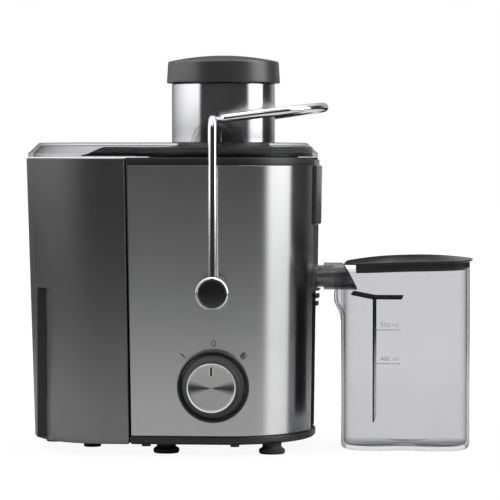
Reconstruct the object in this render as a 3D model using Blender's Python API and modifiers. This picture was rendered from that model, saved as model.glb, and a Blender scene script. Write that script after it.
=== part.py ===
"""Centrifugal juicer: motor base with a steel front, pulp bin, feed cover with a locking arm, and juice jug.

Metres, +Z up, +X towards the jug, -Y towards the user. The model is drawn round the motor's axis, and one
empty then moves everything so that the origin lies on the table, under the middle of the whole.
"""

import math

import bmesh
import bpy
from mathutils import Matrix, Vector

# ---- driving dimensions ----
GAP = 0.0003  # kept between pieces that touch

# outer body, measured from the motor's axis; widths and depths are at BODY_TOP and shrink downwards
BODY_TOP = 0.234
BODY_BOTTOM = 0.0088
BODY_SHRINK = 0.04 / 0.218  # share lost per metre below BODY_TOP
HALF_DEPTH = 0.088
BODY_RIGHT = 0.0795
SPLIT_X = -0.069  # between the motor base and the pulp bin
BIN_LEFT = -0.160
END_ROUND = 0.070  # half axis, along X, of the elliptical ends
CORNER = 0.0015
SHELL_WALL = 0.0026
BAND_TOP = 0.0148  # top of the base plate's dark band
COLLAR_BOTTOM = 0.2283
STEEL = 0.0008
WRAP_END_Y = -0.024  # where the steel ends on the right
DECK_TOP = 0.124
DECK = 0.003

# cover and feed chute
COVER_INSET = 0.0015
COVER_WALL = 0.0022
RIM_HEIGHT = 0.0035
RIM_WIDTH = 0.004
COVER_RISE = 0.0115
COVER_BEVEL = 0.0085
CHUTE_BORE = 0.0375
CHUTE_WALL = 0.0022
CHUTE_BOTTOM = 0.172
CHUTE_TOP = 0.2937
SLEEVE_WALL = 0.0017
LUG_RADIUS = 0.0215
LUG_CENTRE_Z = 0.2442
LUG_STANDOFF = 0.0078  # from the sleeve to a lug's outer face
LUG_THICK = 0.004
RIB_THICK = 0.003
RIB_LENGTH = 0.0125
KEY_WIDTH = 0.004
KEY_HEIGHT = 0.0014

# pusher
PUSHER_CLEARANCE = 0.0008
PUSHER_WALL = 0.0022
PUSHER_BOTTOM = 0.188
CAP_OVERHANG = 0.0041  # past the sleeve
CAP_SIDE = 0.0174
CAP_DOME = 0.0049

# locking arm
PIVOT_Z = 0.1282
ROD_RADIUS = 0.0035
LEG_STANDOFF = 0.006  # from the body's widest to the arm's legs
BAR_Z = 0.264
BAR_TILT = 0.128  # rise of the loop per metre to the right
BAR_STANDOFF = 0.0065  # from a lug's outer face to the loop
LOOP_STRAIGHT = 0.030
LOOP_RIGHT = 0.0816
BEND = 0.007
EYE_RADIUS = 0.0118
EYE_THICK = 0.0064
PIN_RADIUS = 0.004
RING_RADIUS = 0.0129
RING_WALL = 0.0008
CAP_THICK = 0.0036
BUSH_RADIUS = 0.009

# dial
DIAL_Z = 0.055
BEZEL_RADIUS = 0.0284
BEZEL_WALL = 0.0027
BEZEL_HEIGHT = 0.0045
KNOB_RADIUS = 0.0253
KNOB_TOP_RADIUS = 0.0198
KNOB_HEIGHT = 0.0176
KNOB_SKIRT = 0.0035
DISC_RADIUS = 0.0190
DISC_THICK = 0.0012
SWITCH_SHAFT = 0.003
SWITCH_SIDE = 0.024
SWITCH_DEPTH = 0.018

# juice collector and spout
BOWL_RADIUS = 0.0645
BOWL_WALL = 0.0022
BOWL_BOTTOM = 0.1255
BOWL_TOP = 0.233
NECK_BORE = 0.014
NECK_TOP = 0.156
SPOUT_Z = 0.138
SPOUT_RADIUS = 0.011
SPOUT_WALL = 0.0018
SPOUT_TOP_END = 0.097
SPOUT_LOW_END = 0.109
OUTLET_WALL = 0.0016
SLOT_HALF = 0.0235
SHIELD_THICK = 0.0022
SHIELD_PROUD = 0.0022
SHIELD_PROUD_BOTTOM = 0.180

# filter basket
BASKET_FLOOR = 0.160
CHUTE_CLEARANCE = 0.0055  # from the chute to the filter's foot
BASKET_CLEARANCE = 0.0051  # from the filter's head to the collector
BASKET_MESH = 0.0007
BASKET_TOP = 0.238
RING_DEPTH = 0.009
HUB_LIP = 0.0013
SOCKET_RADIUS = 0.0135
HEX_RADIUS = 0.011
HEX_CLEARANCE = 0.0005

# motor
SHAFT_RADIUS = 0.004
SHAFT_BOTTOM = 0.024
SHAFT_TOP = 0.150
STATOR_X = 0.033
STATOR_Y = 0.030
STATOR_LOW = 0.058
STATOR_HIGH = 0.092
ARMATURE_RADIUS = 0.0203
AIR_GAP = 0.0007
COIL_RADIUS = 0.029
COIL_HEIGHT = 0.0085
COMMUTATOR_RADIUS = 0.011
COMMUTATOR_LOW = 0.0415
COMMUTATOR_HIGH = 0.0489
LOWER_BEARING = 0.008
UPPER_BEARING = 0.0107
BRACKET = 0.003
UPPER_BRACKET_Z = 0.106
LOWER_BRACKET_Z = 0.036
FAN_RADIUS = 0.026
FAN_Z = 0.026
FAN_BLADES = 8
COUPLING_RADIUS = 0.0125
COUPLING_BOTTOM = 0.127
COUPLING_SHOULDER = 0.139
COUPLING_TOP = 0.157
SEAL_RADIUS = 0.0097

# pulp bin
BIN_WALL = 0.0022
BIN_BOTTOM = 0.0088
BIN_TOP = 0.2335
GRIP_TOP = 0.130
GRIP_KNEE = (-0.1375, -0.0485)  # deepest edge of the finger grip, in plan
GRIP_RIGHT = -0.1283
PAD_RADIUS = 0.007
PAD_PLACES = ((-0.105, -0.018), (-0.1415, 0.020), (-0.090, 0.058))

# feet and screws
FOOT_RADIUS = 0.0103
FOOT_STEM = 0.0082
FOOT_FLANGE = 0.0045
FOOT_LEFT = -0.040
FOOT_RIGHT = 0.044
FOOT_Y = 0.060
SCREW_RADIUS = 0.002
SCREW_HEAD = 0.0036
SCREW_X = (-0.054, 0.016)
SCREW_INSET = 0.0108
POST_RADIUS = 0.005
POST_TOP = 0.040

# cord gland
GLAND_X = -0.030
GLAND_Z = 0.036
GLAND_RADIUS = 0.0075
GLAND_BORE = 0.0036

# safety interlock
ROD_PLACE = (-0.048, 0.062)
INTERLOCK_RADIUS = 0.002
INTERLOCK_BOTTOM = 0.100

# juice jug
JUG_LEFT = 0.096
JUG_RIGHT = 0.1995
JUG_HALF_DEPTH = 0.038
JUG_WALL = 0.0022
JUG_POWER = 3.6  # squareness of the jug's outline
JUG_WAIST = 0.17  # share of the depth taken off at the finger grip
JUG_RIM_LEFT = 0.1425
JUG_SLOPE = 0.0030 / 0.1035  # the rim rises to the right
LIP_LEFT = 0.0902
LIP_SIDE_GAP = 0.0015
LIP_GAP = 0.0008  # left under the spout
LID_BAND = 0.0050
LID_FLANGE = 0.0016
LID_DOME = 0.0042
LID_OVERHANG = 0.0025
LID_BODY_LEFT = 0.1085
LID_PLUG = 0.0015
DIVIDER_X = 0.1227
DIVIDER_THICK = 0.0014
DIVIDER_LOW = 0.0218
DIVIDER_GAP = 0.0018  # left under the spout
DIVIDER_RIGHT = 0.1455
DIVIDER_LEFT = 0.1045
DIVIDER_RISE = 0.0035

# ---- sizes that follow from them ----
COVER_BASE = BODY_TOP + GAP
COVER_TOP = COVER_BASE + COVER_RISE
JUG_MIDDLE = (JUG_LEFT + JUG_RIGHT) / 2
CHUTE_RADIUS = CHUTE_BORE + CHUTE_WALL
SLEEVE_BORE = CHUTE_RADIUS + GAP
SLEEVE_RADIUS = SLEEVE_BORE + SLEEVE_WALL
CAP_RADIUS = SLEEVE_RADIUS + CAP_OVERHANG
LUG_FRONT = SLEEVE_RADIUS + LUG_STANDOFF
RIB_REACH = LUG_FRONT + RIB_LENGTH
BAR_Y = LUG_FRONT + BAR_STANDOFF
LEG_Y = HALF_DEPTH + LEG_STANDOFF
OUTSIDE = HALF_DEPTH + 0.012  # clear of the body, for tools that pass through its walls
SCREW_Y = HALF_DEPTH - SCREW_INSET
SCREW_PLACES = tuple((x, y) for y in (-SCREW_Y, SCREW_Y) for x in SCREW_X)
BASKET_LOW = CHUTE_RADIUS + CHUTE_CLEARANCE
BASKET_HIGH = BOWL_RADIUS - BOWL_WALL - BASKET_CLEARANCE
HUB_RIM = BASKET_LOW + HUB_LIP
SPOUT_UNDER = SPOUT_Z - SPOUT_RADIUS
LIP_HALF = SPOUT_RADIUS + JUG_WALL + LIP_SIDE_GAP
LIP_MOUTH = SPOUT_UNDER - LIP_GAP
DIVIDER_TOP = SPOUT_UNDER - DIVIDER_GAP - DIVIDER_RISE
CAP_BASE = CHUTE_TOP + GAP
EYE_INNER = LEG_Y - EYE_THICK / 2
EYE_OUTER = LEG_Y + EYE_THICK / 2
CAP_FACE = EYE_OUTER + GAP + CAP_THICK
STEPS = 28  # facets round an ordinary turned piece


def body_scale(z):
    """Share of its top size that the tapered body has at height z."""
    return 1 - BODY_SHRINK * (BODY_TOP - z)


def face_y(z):
    """How far the body's flat front stands from the axis at height z."""
    return HALF_DEPTH * body_scale(z)


KNOB_FACE = face_y(DIAL_Z) + 3 * GAP + KNOB_HEIGHT + DISC_THICK
ORIGIN = Vector((-(BIN_LEFT + JUG_RIGHT + LID_OVERHANG) / 2, (KNOB_FACE - CAP_FACE) / 2, 0))


# ---- scene helpers ----
def clear_scene():
    for obj in list(bpy.data.objects):
        bpy.data.objects.remove(obj, do_unlink=True)


def new_collection(name):
    made = bpy.data.collections.new(name)
    bpy.context.scene.collection.children.link(made)
    return made


def new_material(name, colour, roughness, metallic=0.0, alpha=1.0):
    made = bpy.data.materials.new(name)
    made.use_nodes = True
    shader = made.node_tree.nodes["Principled BSDF"]
    shader.inputs["Base Color"].default_value = (*colour, 1.0)
    shader.inputs["Roughness"].default_value = roughness
    shader.inputs["Metallic"].default_value = metallic
    shader.inputs["Alpha"].default_value = alpha
    return made


clear_scene()
JUICER = new_collection("Centrifugal juicer")
CUTTERS = new_collection("Cutters")
HOME = bpy.data.objects.new("origin_shift", None)
JUICER.objects.link(HOME)
HOME.location = ORIGIN

DARK_PLASTIC = new_material("dark grey plastic", (0.075, 0.076, 0.078), 0.42)
BLACK_PLASTIC = new_material("black plastic", (0.014, 0.014, 0.015), 0.35)
SMOKED = new_material("smoked clear plastic", (0.10, 0.10, 0.105), 0.08, alpha=0.45)
JUG_CLEAR = new_material("jug clear plastic", (0.45, 0.45, 0.46), 0.06, alpha=0.35)
BRUSHED = new_material("brushed stainless steel", (0.40, 0.40, 0.41), 0.30, 1.0)
POLISHED = new_material("polished stainless steel", (0.62, 0.62, 0.63), 0.12, 1.0)
CHROME = new_material("chrome", (0.80, 0.80, 0.81), 0.05, 1.0)
RUBBER = new_material("black rubber", (0.018, 0.018, 0.018), 0.8)
PALE_PLASTIC = new_material("pale plastic", (0.62, 0.62, 0.60), 0.5)
IRON = new_material("lamination steel", (0.28, 0.28, 0.29), 0.45, 1.0)
COPPER = new_material("enamelled copper", (0.55, 0.22, 0.09), 0.35, 1.0)
CARBON = new_material("carbon", (0.03, 0.03, 0.03), 0.6)


def new_object(name, mesh, material=None):
    """A part if it has a material, otherwise a hidden cutter or shape to join."""
    obj = bpy.data.objects.new(name, mesh)
    if material is None:
        CUTTERS.objects.link(obj)
        obj.hide_render = True
        obj.display_type = "WIRE"
    else:
        JUICER.objects.link(obj)
        mesh.materials.clear()
        mesh.materials.append(material)
    obj.parent = HOME
    return obj


def hang_from(name, place, parts):
    """Parents parts to an empty at place, on their joint's axis, without moving them."""
    empty = bpy.data.objects.new(name, None)
    JUICER.objects.link(empty)
    empty.parent = HOME
    empty.location = place
    for part in parts:
        part.parent = empty
        part.location = Vector(part.location) - Vector(place)


def from_bmesh(name, bm, material=None, smooth=True):
    mesh = bpy.data.meshes.new(name)
    bm.to_mesh(mesh)
    bm.free()
    if smooth:
        mesh.shade_smooth()
        mesh.set_sharp_from_angle(angle=math.radians(35))
    return new_object(name, mesh, material)


def boolean(obj, other, operation):
    made = obj.modifiers.new(f"{operation.lower()} {other.name}", "BOOLEAN")
    made.object = other
    made.operation = operation
    made.solver = "EXACT"


def cut(obj, *others):
    for other in others:
        boolean(obj, other, "DIFFERENCE")


def join(obj, *others):
    for other in others:
        boolean(obj, other, "UNION")


def box(name, low, high, material=None):
    bm = bmesh.new()
    bmesh.ops.create_cube(bm, size=1)
    low, high = Vector(low), Vector(high)
    size = high - low
    bm.transform(Matrix.Translation((low + high) / 2) @ Matrix.Diagonal((*size, 1)))
    return from_bmesh(name, bm, material, smooth=False)


AXES = {
    "Z": Matrix.Identity(4),
    "X": Matrix.Rotation(math.radians(90), 4, "Y"),
    "-Y": Matrix.Rotation(math.radians(90), 4, "X"),
    "Y": Matrix.Rotation(math.radians(-90), 4, "X"),
}


def cylinder(
    name, radius, low, high, centre=(0, 0, 0), axis="Z", material=None, top_radius=None, facets=STEPS
):
    """Solid round bar that runs from low to high along the axis through centre."""
    bm = bmesh.new()
    far = radius if top_radius is None else top_radius
    bmesh.ops.create_cone(bm, cap_ends=True, segments=facets, radius1=radius, radius2=far, depth=high - low)
    bm.transform(Matrix.Translation(centre) @ AXES[axis] @ Matrix.Translation((0, 0, (low + high) / 2)))
    return from_bmesh(name, bm, material)


def turned(name, profile, material=None, centre=(0, 0, 0), axis="Z", facets=STEPS):
    """Ring or cup: a closed profile of (radius, height), outer side first and downwards, turned on the axis."""
    mesh = bpy.data.meshes.new(name)
    count = len(profile)
    edges = [(i, (i + 1) % count) for i in range(count)]
    on_axis = [i for i, (radius, _) in enumerate(profile) if radius == 0]
    if on_axis:
        edges = [e for e in edges if not (e[0] in on_axis and e[1] in on_axis)]
    mesh.from_pydata([(radius, 0, height) for radius, height in profile], edges, [])
    obj = new_object(name, mesh, material)
    obj.location = centre
    obj.rotation_euler = AXES[axis].to_euler()
    screw = obj.modifiers.new("turn", "SCREW")
    screw.steps = facets
    screw.render_steps = facets
    screw.use_merge_vertices = True
    screw.merge_threshold = 0.00001
    screw.use_smooth_shade = True
    return obj


def ring(name, outer, inner, low, high, material=None, centre=(0, 0, 0), axis="Z", facets=STEPS):
    profile = [(outer, high), (outer, low), (inner, low), (inner, high)]
    return turned(name, profile, material, centre, axis, facets)


def loft(name, sections, material=None):
    """Closed solid through outlines with equal numbers of points, each given as (outline, height)."""
    bm = bmesh.new()
    rings = [[bm.verts.new((x, y, z)) for x, y in outline] for outline, z in sections]
    for low, high in zip(rings, rings[1:]):
        for i in range(len(low)):
            j = (i + 1) % len(low)
            bm.faces.new((low[i], low[j], high[j], high[i]))
    bm.faces.new(list(reversed(rings[0])))
    bm.faces.new(rings[-1])
    bmesh.ops.recalc_face_normals(bm, faces=bm.faces)
    return from_bmesh(name, bm, material)


def plate(name, outlines, low, high, material=None, axis="Z"):
    """Flat outline, with any further outlines as holes, from low to high along the axis."""
    curve = bpy.data.curves.new(name, "CURVE")
    curve.dimensions = "2D"
    curve.fill_mode = "BOTH"
    curve.extrude = (high - low) / 2
    for outline in outlines:
        spline = curve.splines.new("POLY")
        spline.points.add(len(outline) - 1)
        for point, (x, y) in zip(spline.points, outline):
            point.co = (x, y, 0, 1)
        spline.use_cyclic_u = True
    drawn = bpy.data.objects.new(name + "_drawn", curve)
    return curve_to_mesh(name, drawn, material, AXES[axis] @ Matrix.Translation((0, 0, (low + high) / 2)))


def curve_to_mesh(name, drawn, material, place):
    CUTTERS.objects.link(drawn)
    graph = bpy.context.evaluated_depsgraph_get()
    mesh = bpy.data.meshes.new_from_object(drawn.evaluated_get(graph))
    bm = bmesh.new()
    bm.from_mesh(mesh)
    bmesh.ops.remove_doubles(bm, verts=bm.verts, dist=0.000002)
    bm.transform(place)
    bpy.data.meshes.remove(mesh)
    curve = drawn.data
    bpy.data.objects.remove(drawn)
    bpy.data.curves.remove(curve)
    return from_bmesh(name, bm, material)


def rod(name, points, radius, material=None, bevel_resolution=2):
    """Round bar along a list of points."""
    curve = bpy.data.curves.new(name, "CURVE")
    curve.dimensions = "3D"
    curve.bevel_depth = radius
    curve.bevel_resolution = bevel_resolution
    curve.use_fill_caps = True
    spline = curve.splines.new("POLY")
    spline.points.add(len(points) - 1)
    for point, place in zip(spline.points, points):
        point.co = (*place, 1)
    drawn = bpy.data.objects.new(name + "_drawn", curve)
    return curve_to_mesh(name, drawn, material, Matrix.Identity(4))


# ---- outlines ----
def rounded_outline(left, right, half_depth, left_round, right_round, steps=7):
    """Outline with elliptical corners, symmetric about X; each round is its (along X, along Y) half axes."""
    corners = (
        (right - right_round[0], half_depth - right_round[1], right_round, 0),
        (left + left_round[0], half_depth - left_round[1], left_round, 90),
        (left + left_round[0], left_round[1] - half_depth, left_round, 180),
        (right - right_round[0], right_round[1] - half_depth, right_round, 270),
    )
    points = []
    for centre_x, centre_y, (round_x, round_y), start in corners:
        for i in range(steps + 1):
            turn = math.radians(start + 90 * i / steps)
            point = (centre_x + round_x * math.cos(turn), centre_y + round_y * math.sin(turn))
            if not points or math.dist(point, points[-1]) > 0.00001:
                points.append(point)
    if math.dist(points[0], points[-1]) < 0.00001:
        points.pop()
    return points


def base_outline(inset=0.0, left=SPLIT_X):
    """The motor base at BODY_TOP."""
    big = (END_ROUND - inset, HALF_DEPTH - inset)
    small = (max(CORNER - inset, 0.0005),) * 2
    return rounded_outline(left + inset, BODY_RIGHT - inset, HALF_DEPTH - inset, small, big)


def bin_outline(inset=0.0):
    """The pulp bin at BODY_TOP."""
    big = (END_ROUND - inset, HALF_DEPTH - inset)
    small = (max(CORNER - inset, 0.0005),) * 2
    right = SPLIT_X - 2 * GAP
    return rounded_outline(BIN_LEFT + inset, right - inset, HALF_DEPTH - inset, big, small)


def cover_outline(inset=0.0):
    big = (END_ROUND - inset, HALF_DEPTH - inset)
    return rounded_outline(BIN_LEFT + inset, BODY_RIGHT - inset, HALF_DEPTH - inset, big, big)


def scaled(outline, factor):
    return [(x * factor, y * factor) for x, y in outline]


def tapered(name, outline, low, high, material=None):
    """Upright solid that follows the body's taper between two heights."""
    return loft(name, [(scaled(outline, body_scale(z)), z) for z in (low, high)], material)


def jug_outline(inset=0.0, left=JUG_LEFT, points=40):
    """Squared ellipse, pinched at the middle for the fingers."""
    half_width = (JUG_RIGHT - left) / 2 - inset
    middle = (JUG_RIGHT + left) / 2
    outline = []
    for i in range(points):
        turn = 2 * math.pi * i / points
        x, y = math.cos(turn), math.sin(turn)
        x = math.copysign(abs(x) ** (2 / JUG_POWER), x)
        y = math.copysign(abs(y) ** (2 / JUG_POWER), y)
        pinch = 1 - JUG_WAIST * math.cos(math.pi / 2 * min(1, abs(x) / 0.6)) ** 2
        outline.append((middle + half_width * x, (JUG_HALF_DEPTH - inset) * y * pinch))
    return outline


def rim_z(x):
    """Height of the jug's sloping rim."""
    return JUG_RIM_LEFT + JUG_SLOPE * (x - JUG_LEFT)


def sloped(name, outline, low, high, material=None, flat_low=False):
    """Loft between the outline at two heights above the sloping rim, or from a level floor up to it."""
    bm = bmesh.new()
    lower = [bm.verts.new((x, y, low if flat_low else rim_z(x) + low)) for x, y in outline]
    upper = [bm.verts.new((x, y, rim_z(x) + high)) for x, y in outline]
    for i in range(len(outline)):
        j = (i + 1) % len(outline)
        bm.faces.new((lower[i], lower[j], upper[j], upper[i]))
    bm.faces.new(list(reversed(lower)))
    bm.faces.new(upper)
    bmesh.ops.recalc_face_normals(bm, faces=bm.faces)
    return from_bmesh(name, bm, material)


# ---- motor base ----
def make_base_plate():
    base = tapered("base_plate", base_outline(), BODY_BOTTOM, BAND_TOP, BLACK_PLASTIC)
    cut(base, tapered("base_pocket", base_outline(0.004), BODY_BOTTOM + 0.003, BAND_TOP + 0.01))
    for x in (FOOT_LEFT, FOOT_RIGHT):
        for y in (-FOOT_Y, FOOT_Y):
            hole = cylinder("foot_hole", 0.0034, 0.005, 0.020, (x, y, 0), facets=16)
            cut(base, hole)
    for x, y in SCREW_PLACES:
        cut(base, cylinder("screw_hole", SCREW_RADIUS + GAP, 0.005, 0.020, (x, y, 0), facets=12))
    for i in range(-3, 4):
        x = i * 0.009
        cut(base, box("vent", (x - 0.0018, -0.026, 0.005), (x + 0.0018, 0.026, 0.020)))


def make_feet():
    stem_top = BODY_BOTTOM - GAP
    barb = BODY_BOTTOM + 0.0045
    profile = [
        (0, barb), (0.0026, barb), (0.0030, stem_top), (FOOT_STEM, stem_top), (FOOT_STEM, FOOT_FLANGE + 0.001),
        (FOOT_RADIUS, FOOT_FLANGE - 0.001), (FOOT_RADIUS, 0.0008), (FOOT_RADIUS - 0.0008, 0), (0, 0),
    ]
    for depth, y in (("front", -FOOT_Y), ("rear", FOOT_Y)):
        for side, x in (("left", FOOT_LEFT), ("right", FOOT_RIGHT)):
            turned(f"foot_{depth}_{side}", profile, RUBBER, (x, y, 0), facets=16)


def make_screws():
    head_top = BODY_BOTTOM - GAP
    profile = [
        (0, POST_TOP - 0.006), (SCREW_RADIUS, POST_TOP - 0.006), (SCREW_RADIUS, head_top), (SCREW_HEAD, head_top),
        (SCREW_HEAD, head_top - 0.0016), (0, head_top - 0.0016),
    ]
    for i, (x, y) in enumerate(SCREW_PLACES):
        turned(f"base_screw_{i + 1}", profile, IRON, (x, y, 0), facets=16)


def make_body_shell():
    low = BAND_TOP + GAP
    shell = tapered("body_shell", base_outline(), low, BODY_TOP, DARK_PLASTIC)
    cut(shell, tapered("motor_room", base_outline(SHELL_WALL), low - 0.01, DECK_TOP - DECK))
    cut(shell, tapered("bowl_room", base_outline(SHELL_WALL), DECK_TOP, BODY_TOP + 0.01))
    slot = box("outlet_slot", (0.03, -SLOT_HALF - GAP, DECK_TOP), (0.12, SLOT_HALF + GAP, BODY_TOP + 0.01))
    cut(shell, slot)
    for x, y in SCREW_PLACES:
        join(shell, cylinder("screw_post", POST_RADIUS, low, POST_TOP, (x, y, 0), facets=16))
    # the front and right are set back for the steel, which the collar above overhangs
    recess = box("steel_recess", (-0.2, -0.2, low - 0.01), (0.2, WRAP_END_Y, COLLAR_BOTTOM))
    cut(recess, tapered("steel_backing", base_outline(STEEL + GAP), low - 0.02, BODY_TOP + 0.02))
    cut(shell, recess)
    for x, y in SCREW_PLACES:
        cut(shell, cylinder("post_bore", SCREW_RADIUS + GAP, 0.0, POST_TOP - 0.005, (x, y, 0), facets=12))
    # hangers for the motor's upper bracket
    for x in (-0.028, 0.028):
        for y in (-0.026, 0.026):
            foot = UPPER_BRACKET_Z + BRACKET + GAP
            join(shell, cylinder("hanger", 0.004, foot, DECK_TOP - 0.001, (x, y, 0), facets=16))
    cut(shell, cylinder("seal_seat", SEAL_RADIUS + GAP, 0.11, 0.13, facets=16))
    cut(shell, cylinder("pivot_hole", PIN_RADIUS + GAP, -OUTSIDE, OUTSIDE, (0, 0, PIVOT_Z), "Y", facets=16))
    cut(shell, cylinder("shaft_hole", SWITCH_SHAFT + 0.001, 0.05, OUTSIDE, (0, 0, DIAL_Z), "-Y", facets=16))
    cut(shell, cylinder("gland_hole", GLAND_RADIUS - 0.0015, 0.05, OUTSIDE, (GLAND_X, 0, GLAND_Z), "Y", facets=16))
    rod_x, rod_y = ROD_PLACE
    cut(shell, cylinder("interlock_hole", INTERLOCK_RADIUS + 0.0004, 0.1, 0.13, (rod_x, rod_y, 0), facets=16))


def make_steel_wrap():
    low = BAND_TOP + 2 * GAP
    high = COLLAR_BOTTOM - GAP
    wrap = tapered("steel_wrap", base_outline(), low, high, BRUSHED)
    cut(wrap, tapered("wrap_inside", base_outline(STEEL), low - 0.01, high + 0.01))
    cut(wrap, box("wrap_end", (-0.2, WRAP_END_Y - GAP, 0), (0.2, 0.2, 0.3)))
    side = SPLIT_X + CORNER
    beyond = [(-0.3, -0.3), (side, -0.3), (side, 0.3), (-0.3, 0.3)]
    cut(wrap, tapered("wrap_side", beyond, low - 0.01, high + 0.01))
    cut(wrap, cylinder("wrap_pivot_hole", PIN_RADIUS + GAP, 0.05, OUTSIDE, (0, 0, PIVOT_Z), "-Y", facets=16))
    cut(wrap, cylinder("wrap_shaft_hole", SWITCH_SHAFT + 0.001, 0.05, OUTSIDE, (0, 0, DIAL_Z), "-Y",
                       facets=16))


# ---- cover, sleeve and pusher ----
def half_disc(radius, base_z, centre_z, steps=16):
    """Outline in X and Z of the part of a disc that stands above base_z."""
    start = math.asin((base_z - centre_z) / radius)
    turns = [start + (math.pi - 2 * start) * i / steps for i in range(steps + 1)]
    return [(radius * math.cos(t), -(centre_z + radius * math.sin(t))) for t in turns]


def make_cover():
    inset = COVER_INSET
    top_inset = inset + COVER_BEVEL
    rim_top = COVER_BASE + RIM_HEIGHT
    cover = loft("cover", [
        (cover_outline(inset), COVER_BASE),
        (cover_outline(inset), rim_top),
        (cover_outline(top_inset - 0.0012), COVER_TOP - 0.0010),
        (cover_outline(top_inset), COVER_TOP),
    ], SMOKED)
    inside = loft("cover_inside", [
        (cover_outline(inset + RIM_WIDTH), COVER_BASE - 0.01),
        (cover_outline(inset + RIM_WIDTH), COVER_BASE + 0.001),
        (cover_outline(top_inset + COVER_WALL / 2), COVER_TOP - COVER_WALL),
    ])
    cut(cover, inside)
    join(cover, cylinder("chute_outside", CHUTE_RADIUS, CHUTE_BOTTOM, CHUTE_TOP, facets=36))
    for side, y in (("front", -1), ("rear", 1)):
        near, far = LUG_FRONT - LUG_THICK, LUG_FRONT
        low, high = sorted((y * near, y * far))
        foot_z = COVER_TOP - COVER_WALL / 2
        # the outline is drawn in X and -Z, which turning about X stands upright
        lug = plate(f"lug_{side}", [half_disc(LUG_RADIUS, foot_z, LUG_CENTRE_Z)], low, high, axis="Y")
        rib_low, rib_high = sorted((y * (far - 0.001), y * RIB_REACH))
        rib_top = BAR_Z - ROD_RADIUS - GAP
        rib = box(f"rib_{side}", (-RIB_THICK / 2, rib_low, foot_z), (RIB_THICK / 2, rib_high, rib_top))
        join(cover, lug, rib)
    cut(cover, cylinder("chute_inside", CHUTE_BORE, CHUTE_BOTTOM - 0.02, CHUTE_TOP + 0.02, facets=36))
    key = box("chute_key", (-KEY_WIDTH / 2, CHUTE_BORE - KEY_HEIGHT, CHUTE_BOTTOM + 0.001),
              (KEY_WIDTH / 2, CHUTE_BORE + CHUTE_WALL / 2, CHUTE_TOP - 0.001))
    join(cover, key)


def make_sleeve():
    low = COVER_TOP + GAP
    ring("chute_sleeve", SLEEVE_RADIUS, SLEEVE_BORE, low, CHUTE_TOP - GAP, POLISHED, facets=36)


def make_pusher():
    outer = CHUTE_BORE - PUSHER_CLEARANCE
    top = CAP_BASE - GAP / 2
    floor = PUSHER_BOTTOM + PUSHER_WALL
    body = turned("pusher_body", [
        (outer, top), (outer, PUSHER_BOTTOM + 0.002), (outer - 0.002, PUSHER_BOTTOM), (0, PUSHER_BOTTOM),
        (0, floor), (outer - PUSHER_WALL, floor), (outer - PUSHER_WALL, top),
    ], DARK_PLASTIC, facets=32)
    groove_half = KEY_WIDTH / 2 + PUSHER_CLEARANCE
    groove_inner = CHUTE_BORE - KEY_HEIGHT - PUSHER_CLEARANCE
    groove_low = (-groove_half, groove_inner, PUSHER_BOTTOM - 0.01)
    cut(body, box("pusher_groove", groove_low, (groove_half, 0.06, top + 0.01)))
    side_top = CAP_BASE + CAP_SIDE
    plug = outer - PUSHER_WALL - GAP
    edge = CAP_RADIUS - 0.0014
    dome = [(edge * share, side_top + CAP_DOME * (1 - share ** 2)) for share in (0, 0.3, 0.55, 0.8, 1)]
    turned("pusher_cap", dome + [
        (CAP_RADIUS - 0.0010, side_top - 0.0006), (CAP_RADIUS, CAP_BASE), (plug, CAP_BASE),
        (plug, CAP_BASE - 0.008), (plug - 0.002, CAP_BASE - 0.008), (plug - 0.002, CAP_BASE + 0.002),
        (0, CAP_BASE + 0.002),
    ], DARK_PLASTIC, facets=32)


# ---- locking arm ----
def rounded_path(corners, radius, steps=5):
    """Points along a bent line whose inner corners are rounded to the given radius."""
    corners = [Vector(c) for c in corners]
    points = [corners[0]]
    for before, corner, after in zip(corners, corners[1:], corners[2:]):
        back, ahead = (before - corner).normalized(), (after - corner).normalized()
        half = back.angle(ahead) / 2
        reach = radius / math.tan(half)
        centre = corner + (back + ahead).normalized() * (radius / math.sin(half))
        start, end = corner + back * reach - centre, corner + ahead * reach - centre
        sweep = start.angle(end)
        for i in range(steps + 1):
            share = i / steps
            point = (start * math.sin((1 - share) * sweep) + end * math.sin(share * sweep)) / math.sin(sweep)
            points.append(centre + point)
    points.append(corners[-1])
    return points


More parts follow.
